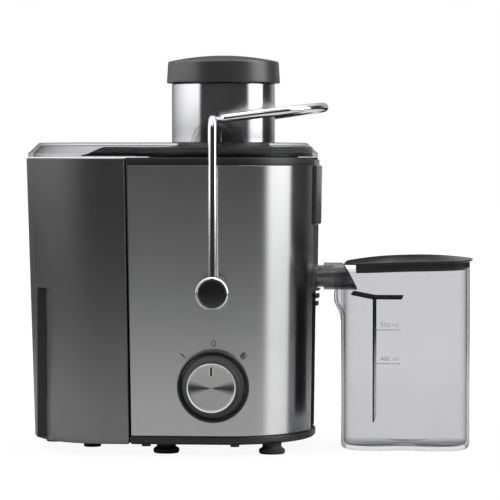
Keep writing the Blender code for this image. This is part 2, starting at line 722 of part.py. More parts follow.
def make_arm():
    def bar(x, y):
        return Vector((x, y, BAR_Z + BAR_TILT * x))

    leg_foot = Vector((0, -LEG_Y, PIVOT_Z))
    leg_head = Vector((0, -LEG_Y, BAR_Z))
    side = rounded_path([leg_foot, leg_head, bar(0, -BAR_Y), bar(LOOP_STRAIGHT, -BAR_Y)], BEND)
    steps = 18
    loop = []
    for i in range(1, steps):
        turn = math.radians(-90 + 180 * i / steps)
        loop.append(bar(LOOP_STRAIGHT + (LOOP_RIGHT - LOOP_STRAIGHT) * math.cos(turn), BAR_Y * math.sin(turn)))
    other = [Vector((p.x, -p.y, p.z)) for p in reversed(side)]
    arm = rod("lock_arm", side + loop + other, ROD_RADIUS, CHROME, bevel_resolution=3)
    pivot = (0, 0, PIVOT_Z)
    for axis in ("-Y", "Y"):
        join(arm, cylinder("arm_eye", EYE_RADIUS, EYE_INNER, EYE_OUTER, pivot, axis, facets=24))
        cut(arm, cylinder("eye_hole", PIN_RADIUS + GAP, EYE_INNER - 0.01, EYE_OUTER + 0.01, pivot, axis, facets=16))
    head = 0.0015
    swinging = [arm]
    for side_name, axis in (("front", "-Y"), ("rear", "Y")):
        cap_back = EYE_OUTER + GAP
        cup = 0.0072
        cap = turned(f"pivot_cap_{side_name}", [
            (0, CAP_FACE), (EYE_RADIUS - 0.0006, CAP_FACE), (EYE_RADIUS, CAP_FACE - 0.0006),
            (EYE_RADIUS, cap_back), (cup, cap_back), (cup, cap_back + head + 2 * GAP),
            (0, cap_back + head + 2 * GAP),
        ], BLACK_PLASTIC, pivot, axis, 24)
        trim = ring(f"pivot_ring_{side_name}", RING_RADIUS, RING_RADIUS - RING_WALL, cap_back, CAP_FACE - GAP,
                    CHROME, pivot, axis, 24)
        swinging += [cap, trim]
        wall = face_y(PIVOT_Z)
        turned(f"pivot_screw_{side_name}", [
            (0, cap_back + head), (0.0064, cap_back + head), (0.0064, cap_back), (PIN_RADIUS, cap_back),
            (PIN_RADIUS, wall - 0.008), (0, wall - 0.008),
        ], IRON, pivot, axis, 24)
        ring(f"pivot_bush_{side_name}", BUSH_RADIUS, PIN_RADIUS + GAP, wall + 2 * GAP, EYE_INNER - GAP,
             BLACK_PLASTIC, pivot, axis, 24)
    hang_from("arm_pivot", pivot, swinging)


# ---- dial ----
def make_dial():
    centre = (0, 0, DIAL_Z)
    face = face_y(DIAL_Z)
    back = face + 2 * GAP + 0.0004
    top = back + BEZEL_HEIGHT
    inner = BEZEL_RADIUS - BEZEL_WALL
    turned("dial_bezel", [
        (BEZEL_RADIUS - 0.0012, top), (BEZEL_RADIUS, top - 0.0012), (BEZEL_RADIUS, back), (inner, back),
        (inner, top),
    ], BLACK_PLASTIC, centre, "-Y", 32)
    knob_back = face + 3 * GAP
    knob_top = knob_back + KNOB_HEIGHT
    bore = SWITCH_SHAFT + GAP
    disc_seat = DISC_RADIUS + GAP
    knob = turned("knob_body", [
        (KNOB_TOP_RADIUS, knob_top), (KNOB_TOP_RADIUS + 0.0012, knob_back + KNOB_SKIRT + 0.0022),
        (KNOB_RADIUS - 0.0008, knob_back + KNOB_SKIRT), (KNOB_RADIUS, knob_back + KNOB_SKIRT - 0.001),
        (KNOB_RADIUS, knob_back), (bore, knob_back), (bore, knob_top - 0.004), (0, knob_top - 0.004),
        (0, knob_top - 0.001), (disc_seat, knob_top - 0.001), (disc_seat, knob_top),
    ], BLACK_PLASTIC, centre, "-Y", 32)
    disc_back = knob_top - 0.001 + GAP
    disc = turned("knob_disc", [
        (0, knob_top + DISC_THICK), (DISC_RADIUS - 0.0008, knob_top + DISC_THICK), (DISC_RADIUS, knob_top + 0.0004),
        (DISC_RADIUS, disc_back), (0, disc_back),
    ], BRUSHED, centre, "-Y", 32)
    switch_front = face_y(DIAL_Z - SWITCH_SIDE / 2) - STEEL - SHELL_WALL - 0.001
    shaft = cylinder("switch_shaft", SWITCH_SHAFT, switch_front - 0.012, knob_top - 0.0045, centre, "-Y",
                     PALE_PLASTIC, facets=16)
    hang_from("dial_axis", centre, [knob, disc, shaft])
    half = SWITCH_SIDE / 2
    switch = box("speed_switch", (-half, -switch_front, DIAL_Z - half),
                 (half, SWITCH_DEPTH - switch_front, DIAL_Z + half), BLACK_PLASTIC)
    cut(switch, cylinder("switch_bore", SWITCH_SHAFT + GAP, switch_front - 0.0125, switch_front + 0.01, centre,
                         "-Y", facets=16))


# ---- juice collector, spout and filter basket ----
def make_collector():
    inner = BOWL_RADIUS - BOWL_WALL
    floor = BOWL_BOTTOM + BOWL_WALL
    neck = NECK_BORE + BOWL_WALL
    bowl = turned("juice_collector", [
        (BOWL_RADIUS, BOWL_TOP), (BOWL_RADIUS, BOWL_BOTTOM), (NECK_BORE, BOWL_BOTTOM), (NECK_BORE, NECK_TOP),
        (neck, NECK_TOP), (neck, floor + 0.003), (inner - 0.006, floor), (inner, floor + 0.006), (inner, BOWL_TOP),
    ], SMOKED, facets=32)
    outlet = (0, 0, SPOUT_Z)
    tube = SPOUT_RADIUS - SPOUT_WALL - GAP
    join(bowl, cylinder("outlet_tube", tube, inner - 0.001, JUG_LEFT - 0.006, outlet, "X", facets=24))
    # the shield closes the slot in the body's side; its upper part stands proud
    shield = tapered("shield", base_outline(), BOWL_BOTTOM, BODY_TOP - 0.0015)
    cut(shield, tapered("shield_inside", base_outline(SHIELD_THICK), 0.1, BODY_TOP + 0.01))
    window = box("shield_window", (0.04, -SLOT_HALF, 0.1), (0.2, SLOT_HALF, 0.3))
    boolean(shield, window, "INTERSECT")
    proud = tapered("proud", base_outline(-SHIELD_PROUD), SHIELD_PROUD_BOTTOM, COLLAR_BOTTOM - 0.001)
    cut(proud, tapered("proud_inside", base_outline(SHIELD_THICK / 2), 0.1, BODY_TOP + 0.01))
    boolean(proud, window, "INTERSECT")
    join(shield, proud)
    join(bowl, shield)
    web_low = BOWL_TOP - 0.003
    join(bowl, box("web", (inner - 0.0005, -0.010, web_low), (BODY_RIGHT - 0.0015, 0.010, BOWL_TOP - 0.001)))
    cut(bowl, cylinder("outlet_bore", tube - OUTLET_WALL, inner - 0.008, JUG_LEFT + 0.02, outlet, "X", facets=24))


def make_nozzle():
    bore = SPOUT_RADIUS - SPOUT_WALL
    start = BODY_RIGHT + SHIELD_PROUD
    nozzle = cylinder("spout_nozzle", SPOUT_RADIUS, start, SPOUT_LOW_END, (0, 0, SPOUT_Z), "X", SMOKED, facets=36)
    cut(nozzle, cylinder("nozzle_bore", bore, start - 0.01, SPOUT_LOW_END + 0.01, (0, 0, SPOUT_Z), "X", facets=36))
    # the end is cut on a slant, so that the juice falls and the top lies under the jug's lid
    top, low = SPOUT_Z + SPOUT_RADIUS, SPOUT_Z - SPOUT_RADIUS
    slope = (SPOUT_LOW_END - SPOUT_TOP_END) / (top - low)
    above, below = top + 0.01, low - 0.01
    wedge = [
        (SPOUT_TOP_END - 0.01 * slope, -above), (SPOUT_LOW_END + 0.01 * slope, -below),
        (SPOUT_LOW_END + 0.03, -below), (SPOUT_LOW_END + 0.03, -above),
    ]
    cut(nozzle, plate("nozzle_slant", [wedge], -0.03, 0.03, axis="Y"))


def make_basket():
    floor = BASKET_FLOOR
    skirt = 0.019  # hangs round the collector's neck and throws water off
    hub = turned("basket_hub", [
        (HUB_RIM, floor + 0.007), (HUB_RIM, floor), (skirt, floor), (skirt, NECK_TOP - 0.006),
        (skirt - 0.0018, NECK_TOP - 0.006), (skirt - 0.0018, floor), (SOCKET_RADIUS, floor),
        (SOCKET_RADIUS, COUPLING_SHOULDER + 0.003), (0, COUPLING_SHOULDER + 0.003), (0, floor + 0.003),
        (BASKET_LOW + GAP, floor + 0.003), (BASKET_LOW + GAP, floor + 0.007),
    ], DARK_PLASTIC, facets=32)
    socket = cylinder("hub_socket", HEX_RADIUS + HEX_CLEARANCE, 0.13, COUPLING_TOP + GAP, facets=6)
    cut(hub, socket)
    mesh_low, mesh_high = floor + 0.003 + GAP, BASKET_TOP - RING_DEPTH + 0.004
    turned("filter_mesh", [
        (BASKET_HIGH, mesh_high), (BASKET_LOW, mesh_low + 0.004), (BASKET_LOW, mesh_low),
        (BASKET_LOW - BASKET_MESH, mesh_low), (BASKET_LOW - BASKET_MESH, mesh_low + 0.004),
        (BASKET_HIGH - BASKET_MESH, mesh_high),
    ], POLISHED, facets=32)
    low = BASKET_TOP - RING_DEPTH
    turned("basket_ring", [
        (BASKET_HIGH + 0.0036, BASKET_TOP - 0.001), (BASKET_HIGH + 0.0036, low), (BASKET_HIGH + GAP, low),
        (BASKET_HIGH + GAP, mesh_high + GAP), (BASKET_HIGH - 0.0015, mesh_high + GAP),
        (BASKET_HIGH - 0.0015, BASKET_TOP), (BASKET_HIGH + 0.0026, BASKET_TOP),
    ], DARK_PLASTIC, facets=32)
    disc_low = mesh_low
    disc = cylinder("grater_disc", BASKET_LOW - BASKET_MESH - GAP, disc_low, disc_low + 0.0012, material=POLISHED,
                    facets=32)
    # two rings of teeth and a centre cone throw the food outwards
    join(disc, cylinder("grater_cone", 0.006, disc_low + 0.0006, disc_low + 0.006, top_radius=0.0015, facets=16))
    for count, radius in ((8, 0.018), (12, 0.032)):
        for i in range(count):
            turn = 2 * math.pi * i / count
            place = (radius * math.cos(turn), radius * math.sin(turn), 0)
            join(disc, cylinder("grater_tooth", 0.0014, disc_low + 0.0006, disc_low + 0.0026, place,
                                top_radius=0.0003, facets=5))


# ---- motor ----
def make_motor():
    bore = SHAFT_RADIUS + GAP
    cylinder("motor_shaft", SHAFT_RADIUS, SHAFT_BOTTOM, SHAFT_TOP, material=POLISHED, facets=16)
    middle = 0.017
    turned("armature", [
        (middle - 0.004, STATOR_HIGH + 0.007), (middle, STATOR_HIGH + 0.003), (middle, STATOR_HIGH - 0.001),
        (ARMATURE_RADIUS, STATOR_HIGH - 0.001), (ARMATURE_RADIUS, STATOR_LOW + 0.001), (middle, STATOR_LOW + 0.001),
        (middle - 0.003, COMMUTATOR_HIGH + 0.001), (bore, COMMUTATOR_HIGH + 0.001), (bore, STATOR_HIGH + 0.007),
    ], COPPER, facets=24)
    ring("commutator", COMMUTATOR_RADIUS, bore, COMMUTATOR_LOW, COMMUTATOR_HIGH, COPPER, facets=16)
    square = rounded_outline(-STATOR_X, STATOR_X, STATOR_Y, (0.008, 0.008), (0.008, 0.008), 4)
    stator = plate("motor_stator", [square], STATOR_LOW, STATOR_HIGH, IRON)
    cut(stator, cylinder("stator_bore", ARMATURE_RADIUS + AIR_GAP, 0.04, 0.11, facets=32))
    coil_bore = ARMATURE_RADIUS + AIR_GAP + 0.001
    ring("field_coil_upper", COIL_RADIUS, coil_bore, STATOR_HIGH + GAP, STATOR_HIGH + COIL_HEIGHT, COPPER, facets=24)
    ring("field_coil_lower", COIL_RADIUS, coil_bore, STATOR_LOW - COIL_HEIGHT, STATOR_LOW - GAP, COPPER, facets=24)
    upper_low = UPPER_BRACKET_Z
    bracket = rounded_outline(-0.034, 0.034, 0.032, (0.006, 0.006), (0.006, 0.006), 3)
    upper = plate("upper_bracket", [bracket], upper_low, upper_low + BRACKET, IRON)
    cut(upper, cylinder("upper_seat", UPPER_BEARING + GAP, 0.09, 0.12, facets=16))
    ring("upper_bearing", UPPER_BEARING, bore, upper_low - 0.002, upper_low + 0.005, POLISHED, facets=16)
    for x in (-0.0315, 0.0315):
        leg = box("bracket_leg", (x - 0.0018, -0.006, STATOR_HIGH + GAP), (x + 0.0018, 0.006, upper_low + 0.001))
        join(upper, leg)
    lower_low = LOWER_BRACKET_Z
    strip = rounded_outline(-0.034, 0.034, 0.013, (0.004, 0.004), (0.004, 0.004), 3)
    lower = plate("lower_bracket", [strip], lower_low, lower_low + BRACKET, IRON)
    cut(lower, cylinder("lower_seat", LOWER_BEARING + GAP, 0.02, 0.05, facets=16))
    for x in (-0.031, 0.031):
        leg = box("bracket_foot", (x - 0.0018, -0.006, lower_low + 0.001), (x + 0.0018, 0.006, STATOR_LOW - GAP))
        join(lower, leg)
    ring("lower_bearing", LOWER_BEARING, bore, lower_low - 0.001, lower_low + 0.005, POLISHED, facets=16)
    brush_z = (COMMUTATOR_LOW + COMMUTATOR_HIGH) / 2
    for side, sign in (("left", -1), ("right", 1)):
        near, far = sorted((sign * (COMMUTATOR_RADIUS + GAP), sign * 0.026))
        box(f"carbon_brush_{side}", (near, -0.003, brush_z - 0.0035), (far, 0.003, brush_z + 0.0035), CARBON)
    fan = ring("cooling_fan", FAN_RADIUS, bore, FAN_Z, FAN_Z + 0.0015, BLACK_PLASTIC, facets=24)
    join(fan, ring("fan_hub", 0.007, bore, FAN_Z + 0.0005, FAN_Z + 0.007, facets=16))
    for i in range(FAN_BLADES):
        blade = box("fan_blade", (0.009, -0.0006, FAN_Z + 0.0005), (FAN_RADIUS - 0.001, 0.0006, FAN_Z + 0.0065))
        blade.rotation_euler.z = 2 * math.pi * i / FAN_BLADES
        join(fan, blade)


def make_drive():
    coupling = cylinder("drive_coupling", COUPLING_RADIUS, COUPLING_BOTTOM, COUPLING_SHOULDER,
                        material=BLACK_PLASTIC, facets=24)
    join(coupling, cylinder("coupling_hex", HEX_RADIUS, COUPLING_SHOULDER - 0.002, COUPLING_TOP, facets=6))
    cut(coupling, cylinder("coupling_bore", SHAFT_RADIUS + GAP, COUPLING_BOTTOM - 0.01, SHAFT_TOP + GAP, facets=16))
    ring("shaft_seal", SEAL_RADIUS, SHAFT_RADIUS + GAP, DECK_TOP - DECK - 0.001, DECK_TOP + 0.001, RUBBER, facets=16)


def make_interlock():
    x, y = ROD_PLACE
    top = COVER_TOP - COVER_WALL - GAP
    cylinder("interlock_rod", INTERLOCK_RADIUS, INTERLOCK_BOTTOM, top, (x, y, 0), material=PALE_PLASTIC, facets=16)
    switch_top = INTERLOCK_BOTTOM - 0.0028
    box("interlock_switch", (x - 0.010, y - 0.004, switch_top - 0.012), (x + 0.010, y + 0.004, switch_top),
        BLACK_PLASTIC)


def make_gland():
    wall = face_y(GLAND_Z)
    outer, bore = GLAND_RADIUS, GLAND_BORE
    neck = outer - 0.0015 - GAP
    turned("cord_gland", [
        (outer - 0.001, wall + 0.003), (outer, wall + 0.002), (outer, wall + 2 * GAP), (neck, wall + 2 * GAP),
        (neck, wall - SHELL_WALL - 0.001), (bore, wall - SHELL_WALL - 0.001), (bore, wall + 0.003),
    ], RUBBER, (GLAND_X, 0, GLAND_Z), "Y", 24)


# ---- pulp bin ----
def grip_wedge(name, offset, top):
    """The finger grip's vertical notch: a wide facet to the front and a narrow one to the left."""
    # the short facet faces the front and the long one slopes out to the bin's face
    knee_x, knee_y = GRIP_KNEE
    outline = [
        (BIN_LEFT - 0.015, knee_y + 0.0015 + offset), (knee_x + offset, knee_y + offset),
        (GRIP_RIGHT + offset, knee_y - 0.022), (GRIP_RIGHT + offset, -0.110), (BIN_LEFT - 0.015, -0.110),
    ]
    return plate(name, [outline], -0.01, top)


def make_bin():
    made = tapered("pulp_bin", bin_outline(), BIN_BOTTOM, BIN_TOP, DARK_PLASTIC)
    cut(made, grip_wedge("grip", 0.0, GRIP_TOP))
    room = tapered("bin_room", bin_outline(BIN_WALL), BIN_BOTTOM + BIN_WALL, BIN_TOP + 0.01)
    cut(room, grip_wedge("grip_wall", BIN_WALL, GRIP_TOP + BIN_WALL))
    cut(made, room)
    pad_top = BIN_BOTTOM - GAP
    for i, (x, y) in enumerate(PAD_PLACES):
        turned(f"bin_pad_{i + 1}", [
            (0, pad_top), (PAD_RADIUS, pad_top), (PAD_RADIUS, 0.0008), (PAD_RADIUS - 0.0008, 0), (0, 0),
        ], RUBBER, (x, y, 0), facets=16)


# ---- juice jug ----
def lip_profile(inset):
    """Side view of the pouring lip, in X and -Z."""
    return [
        (JUG_LEFT + 0.008, -(0.105 + inset)), (JUG_LEFT + 0.001, -(0.1105 + inset)),
        (LIP_LEFT + inset, -(0.1178 + inset * 0.6)), (LIP_LEFT + inset, -0.17), (JUG_LEFT + 0.008, -0.17),
    ]


def make_jug():
    jug = sloped("juice_jug", jug_outline(), 0.0, 0.02, JUG_CLEAR, flat_low=True)
    edge = jug.modifiers.new("soft edge", "BEVEL")
    edge.width = 0.004
    edge.segments = 2
    edge.limit_method = "ANGLE"
    edge.angle_limit = math.radians(60)
    join(jug, plate("lip", [lip_profile(0.0)], -LIP_HALF, LIP_HALF, axis="Y"))
    inside = sloped("jug_inside", jug_outline(JUG_WALL), 0.0030, 0.04, flat_low=True)
    cut(jug, inside)
    room = plate("lip_inside", [lip_profile(JUG_WALL)], JUG_WALL - LIP_HALF, LIP_HALF - JUG_WALL, axis="Y")
    cut(jug, room)
    # the mouth that the spout passes through
    half = LIP_HALF - JUG_WALL
    cut(jug, box("mouth", (0.08, -half, LIP_MOUTH), (JUG_LEFT + 0.01, half, 0.2)))
    cut(jug, sloped("above_rim", [(0.05, -0.1), (0.25, -0.1), (0.25, 0.1), (0.05, 0.1)], 0.0, 0.08))
    # ribs that the foam divider stands on
    y_in = JUG_HALF_DEPTH - JUG_WALL
    for sign in (-1, 1):
        low, high = sorted((sign * (y_in - 0.0030), sign * (y_in + 0.0005)))
        rib_top = DIVIDER_LOW - GAP
        join(jug, box("divider_rib", (DIVIDER_X - 0.0008, low, 0.002), (DIVIDER_X + 0.0008, high, rib_top)))


def make_lid():
    band_low, flange_low = GAP, GAP + LID_BAND
    flange_top = flange_low + LID_FLANGE
    lid = sloped("jug_lid", jug_outline(-LID_OVERHANG), flange_low, flange_top, BLACK_PLASTIC)
    cut(lid, box("lid_end", (0.05, -0.1, 0.1), (SPOUT_TOP_END + 0.002, 0.1, 0.2)))
    band = sloped("lid_band", jug_outline(), band_low, flange_low + 0.0004)
    plug = sloped("lid_plug", jug_outline(JUG_WALL + GAP), -LID_PLUG, band_low + 0.001)
    join(band, plug)
    cut(band, box("band_end", (0.05, -0.1, 0.1), (LID_BODY_LEFT, 0.1, 0.2)))
    join(lid, band)
    hollow = sloped("lid_hollow", jug_outline(JUG_WALL + 0.002), -0.02, flange_low)
    cut(hollow, box("hollow_end", (0.05, -0.1, 0.1), (LID_BODY_LEFT + 0.002, 0.1, 0.2)))
    cut(lid, hollow)
    # low dome: the flange's outline shrinks towards the middle as it rises
    dome = bmesh.new()
    rings = []
    for share in (1.0, 0.82, 0.6, 0.36, 0.12):
        height = flange_top - 0.0004 + LID_DOME * (1 - share ** 2)
        outline = [(JUG_MIDDLE + (x - JUG_MIDDLE) * share, y * share) for x, y in jug_outline(0.001)]
        rings.append([dome.verts.new((x, y, rim_z(x) + height)) for x, y in outline])
    for low, high in zip(rings, rings[1:]):
        for i in range(len(low)):
            j = (i + 1) % len(low)
            dome.faces.new((low[i], low[j], high[j], high[i]))
    dome.faces.new(list(reversed(rings[0])))
    dome.faces.new(rings[-1])
    bmesh.ops.recalc_face_normals(dome, faces=dome.faces)
    top = from_bmesh("lid_dome", dome)
    cut(top, box("dome_end", (0.05, -0.1, 0.1), (SPOUT_TOP_END + 0.003, 0.1, 0.2)))
    join(lid, top)


def make_divider():
    """T-shaped foam divider: an upright plate, a finger flange to the right and a sloping apron to the left."""
    half = JUG_HALF_DEPTH - JUG_WALL - 0.0022
    t = DIVIDER_THICK
    profile = [
        (DIVIDER_X - t / 2, -DIVIDER_LOW), (DIVIDER_X + t / 2, -DIVIDER_LOW),
        (DIVIDER_X + t / 2, -(DIVIDER_TOP - t)), (DIVIDER_RIGHT, -(DIVIDER_TOP - t)),
        (DIVIDER_RIGHT, -DIVIDER_TOP), (DIVIDER_X, -DIVIDER_TOP),
        (DIVIDER_LEFT, -(DIVIDER_TOP + DIVIDER_RISE)), (DIVIDER_LEFT, -(DIVIDER_TOP + DIVIDER_RISE - t)),
        (DIVIDER_X - t / 2, -(DIVIDER_TOP - t)),
    ]
    divider = plate("foam_divider", [profile], -half, half, JUG_CLEAR, axis="Y")
    # the jug's outline trims it, so that it slides down between the walls
    trim = plate("divider_trim", [jug_outline(JUG_WALL + 0.0012)], 0.01, 0.15)
    boolean(divider, trim, "INTERSECT")
    for i in range(-2, 3):
        y = i * 0.011
        slot = box("drain_slot", (DIVIDER_LEFT + 0.004, y - 0.003, 0.11), (DIVIDER_X - 0.003, y + 0.003, 0.14))
        cut(divider, slot)


make_base_plate()
make_feet()
make_screws()
make_body_shell()
make_steel_wrap()
make_cover()
make_sleeve()
make_pusher()
make_arm()
make_dial()
make_collector()
make_nozzle()
make_basket()
make_motor()
make_drive()
make_interlock()
make_gland()
make_bin()
make_jug()
make_lid()
make_divider()
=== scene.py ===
import math
import bmesh
import bpy
import numpy as np
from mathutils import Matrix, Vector


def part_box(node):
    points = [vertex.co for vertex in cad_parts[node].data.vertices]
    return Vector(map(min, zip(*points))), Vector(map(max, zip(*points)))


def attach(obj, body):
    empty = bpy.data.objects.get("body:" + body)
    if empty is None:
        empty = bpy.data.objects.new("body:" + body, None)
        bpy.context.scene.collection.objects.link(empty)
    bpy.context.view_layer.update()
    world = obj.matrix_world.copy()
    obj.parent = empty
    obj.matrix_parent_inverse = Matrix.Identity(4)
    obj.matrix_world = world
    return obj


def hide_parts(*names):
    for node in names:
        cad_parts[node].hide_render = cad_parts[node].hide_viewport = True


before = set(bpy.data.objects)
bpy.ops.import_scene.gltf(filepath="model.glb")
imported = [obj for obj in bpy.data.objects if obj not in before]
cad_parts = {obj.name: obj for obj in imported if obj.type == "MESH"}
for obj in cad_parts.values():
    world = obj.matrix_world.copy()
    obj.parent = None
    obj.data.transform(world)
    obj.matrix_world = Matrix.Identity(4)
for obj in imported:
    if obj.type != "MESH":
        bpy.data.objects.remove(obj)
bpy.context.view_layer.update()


def corners(node):
    low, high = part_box(node)
    return np.array(low), np.array(high)


def footprint(node):
    # a round node's middle on the floor, and its radius
    low, high = corners(node)
    return np.array([(low[0] + high[0]) / 2, (low[1] + high[1]) / 2, 0.0]), (high[0] - low[0]) / 2


axis, sleeveRadius = footprint("chute_sleeve")  # the motor's axis
sleeveLow, sleeveHigh = corners("chute_sleeve")
shellLow, shellHigh = corners("body_shell")
binLow, binHigh = corners("pulp_bin")
baseLow, baseHigh = corners("base_plate")
wrapLow, wrapHigh = corners("steel_wrap")
coverLow, coverHigh = corners("cover")
jugLow, jugHigh = corners("juice_jug")

body = {
    "top": shellHigh[2],
    "right": shellHigh[0] - axis[0],
    "split": shellLow[0] - axis[0],
    "depth": (shellHigh[1] - shellLow[1]) / 2,
    "shrink": 0.04 / 0.218,  # share of the width lost per metre downwards
    "endRound": 0.070,
    "corner": 0.0015,
    "wall": 0.0026,
    "steel": 0.0008,
    "slot": 0.0238,  # half of the outlet slot in the right side
    "steelEnd": 0.024,
}


# ---- meshes from arrays ----

def finishMesh(name, points, faces, rideOn="housing"):
    mesh = bpy.data.meshes.new(name)
    mesh.from_pydata(points.reshape(-1, 3).tolist(), [], faces)
    bm = bmesh.new()
    bm.from_mesh(mesh)
    bmesh.ops.remove_doubles(bm, verts=bm.verts, dist=2e-6)
    bmesh.ops.dissolve_degenerate(bm, dist=1e-6, edges=bm.edges)
    bmesh.ops.recalc_face_normals(bm, faces=bm.faces)
    bm.to_mesh(mesh)
    bm.free()
    mesh.shade_smooth()
    mesh.set_sharp_from_angle(angle=math.radians(32))
    piece = bpy.data.objects.new(name, mesh)
    bpy.context.scene.collection.objects.link(piece)
    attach(piece, rideOn)
    return piece


def gridFaces(rows, columns, closeRows, closeColumns):
    # quads between neighbouring rows and columns, as one index array
    r = np.arange(rows if closeRows else rows - 1)[:, None]
    c = np.arange(columns if closeColumns else columns - 1)[None, :]
    up, along = (r + 1) % rows, (c + 1) % columns
    quads = np.stack([r * columns + c, r * columns + along, up * columns + along, up * columns + c], axis=-1)
    return quads.reshape(-1, 4).tolist()


def surface(name, points, closeRows=False, strip=False, **more):
    # a grid closed along its columns; a strip is closed across its rows instead, and capped at both ends
    rows, columns = points.shape[:2]
    faces = gridFaces(rows, columns, closeRows or strip, not strip)
    if strip:
        first = np.arange(rows) * columns
        faces += [first[::-1].tolist(), (first + columns - 1).tolist()]
    return finishMesh(name, points, faces, **more)


def soften(points, radius, steps=5, closed=False):
    # each corner of a line of points becomes an arc; radius is one number or one for each point
    points = [np.array(p, float) for p in points]
    count = len(points)
    sizes = radius if isinstance(radius, (list, tuple)) else [radius] * count
    out = []
    for i, corner in enumerate(points):
        if (not closed and i in (0, count - 1)) or sizes[i] == 0:
            out.append(corner)
            continue
        back, ahead = points[i - 1] - corner, points[(i + 1) % count] - corner
        lengths = np.linalg.norm(back), np.linalg.norm(ahead)
        back, ahead = back / lengths[0], ahead / lengths[1]
        half = math.acos(np.clip(back @ ahead, -1, 1)) / 2
        if half > 1.5:
            out.append(corner)
            continue
        reach = min(sizes[i] / math.tan(half), 0.48 * min(lengths))
        start, end = corner + back * reach, corner + ahead * reach
        t = np.linspace(0, 1, steps + 1)[:, None]
        out.extend((1 - t) ** 2 * start + 2 * t * (1 - t) * corner + t ** 2 * end)
    return np.array(out)


def smoothStep(x):
    # 0 to 1, level at both ends
    x = np.clip(x, 0, 1)
    return x * x * (3 - 2 * x)


def scaleAt(z):
    # the body loses the same share of its width for each metre down
    return 1 - body["shrink"] * (body["top"] - z)


def leaned(x, y, z):
    # outlines at each height, as wide there as the body's tapering walls
    size = scaleAt(z)
    return np.stack([x * size, y * size, z + 0 * x], axis=-1)


def circleRows(r, z, turn):
    # a circle of radius r at height z, through each angle of turn
    return np.stack([r * np.cos(turn), r * np.sin(turn), z + 0 * turn], axis=-1)


def oblong(left, right, low, high):
    # four corners in order
    return [(left, low), (right, low), (right, high), (left, high)]


def turnTo(points, way):
    # local +Z is laid along the named axis
    x, y, z = points[..., 0], points[..., 1], points[..., 2]
    ways = {"Z": (x, y, z), "-Y": (x, -z, y), "Y": (x, z, -y), "X": (z, y, -x)}
    return np.stack(ways[way], axis=-1)


def lathe(name, profile, centre=None, way="Z", count=128, closed=True, **more):
    # radius and height of each profile point, swept round the axis
    profile = np.asarray(profile, float)
    turn = np.linspace(0, 2 * np.pi, count, endpoint=False)[None, :]
    r, z = profile[:, 0:1], profile[:, 1:2]
    points = turnTo(circleRows(r, z, turn), way) + (axis if centre is None else np.asarray(centre))
    return surface(name, points, closeRows=closed, **more)


def outlineRows(rows, left, right, leftRound, rightRound, gap=0.0, taper=True, steps=40):
    # four quarter ellipses joined by straight sides; each row is (inset, height), and gap opens the right end
    rows = np.asarray(rows, float)
    inset, z = rows[:, 0:1], rows[:, 1:2]
    missing = math.asin(gap / rightRound[1])
    xs, ys = [], []
    for sideX, sideY, start in ((1, 1, 0), (-1, 1, 90), (-1, -1, 180), (1, -1, 270)):
        roundX, roundY = rightRound if sideX > 0 else leftRound
        edge = right if sideX > 0 else left
        insideX, insideY = np.maximum(roundX - inset, 0.0004), np.maximum(roundY - inset, 0.0004)
        first = math.radians(start) + (missing if start == 0 else 0)
        last = math.radians(start + 90) - (missing if start == 270 else 0)
        turn = np.linspace(first, last, steps)[None, :]
        xs.append(edge - sideX * (inset + insideX) + insideX * np.cos(turn))
        ys.append(sideY * (body["depth"] - inset - insideY) + insideY * np.sin(turn))
    x, y = np.concatenate(xs, axis=1), np.concatenate(ys, axis=1)
    return leaned(x, y, z) if taper else np.stack([x, y, z + 0 * x], axis=-1)


def bodyRows(rows, **more):
    small = (body["corner"],) * 2
    big = (body["endRound"], body["depth"])
    return outlineRows(rows, body["split"], body["right"], small, big, **more)


def slabFaces(count, start=0):
    # the sides of a slab of two rows, then its two ends
    sides = (np.array(gridFaces(2, count, False, True)) + start).tolist()
    return sides + [list(range(start, start + count))[::-1], list(range(start + count, start + 2 * count))]


def prism(name, outline, low, high, way="Y", soft=0.0004, **more):
    # flat outline pushed from low to high along one axis; its two columns are the other two axes, in order
    outline = np.asarray(outline, float)
    points = np.stack([np.insert(outline, "XYZ".index(way), place, axis=1) for place in (low, high)]) + axis
    piece = finishMesh(name, points, slabFaces(len(outline)), **more)
    if soft:
        edge = piece.modifiers.new("soft edges", "BEVEL")
        edge.width = soft
        edge.segments = 3
        edge.limit_method = "ANGLE"
        edge.angle_limit = math.radians(40)
    return piece


def tube(name, path, radius, sides=32, **more):
    # circle carried along a path, squared up to one fixed direction that the path never follows
    path = np.asarray(path, float)
    run = np.gradient(path, axis=0)
    run /= np.linalg.norm(run, axis=1, keepdims=True)
    guide = np.array([1.0, 1.0, 1.0]) / math.sqrt(3)
    side = np.cross(run, guide)
    side /= np.linalg.norm(side, axis=1, keepdims=True)
    other = np.cross(run, side)
    turn = np.linspace(0, 2 * np.pi, sides, endpoint=False)[None, :, None]
    points = path[:, None] + radius * (np.cos(turn) * side[:, None] + np.sin(turn) * other[:, None])
    ends = [np.repeat(path[i][None, None], sides, axis=1) for i in (0, -1)]
    points = np.concatenate([ends[0], points, ends[1]]) + axis
    return surface(name, points, **more)


# ---- shader maths ----

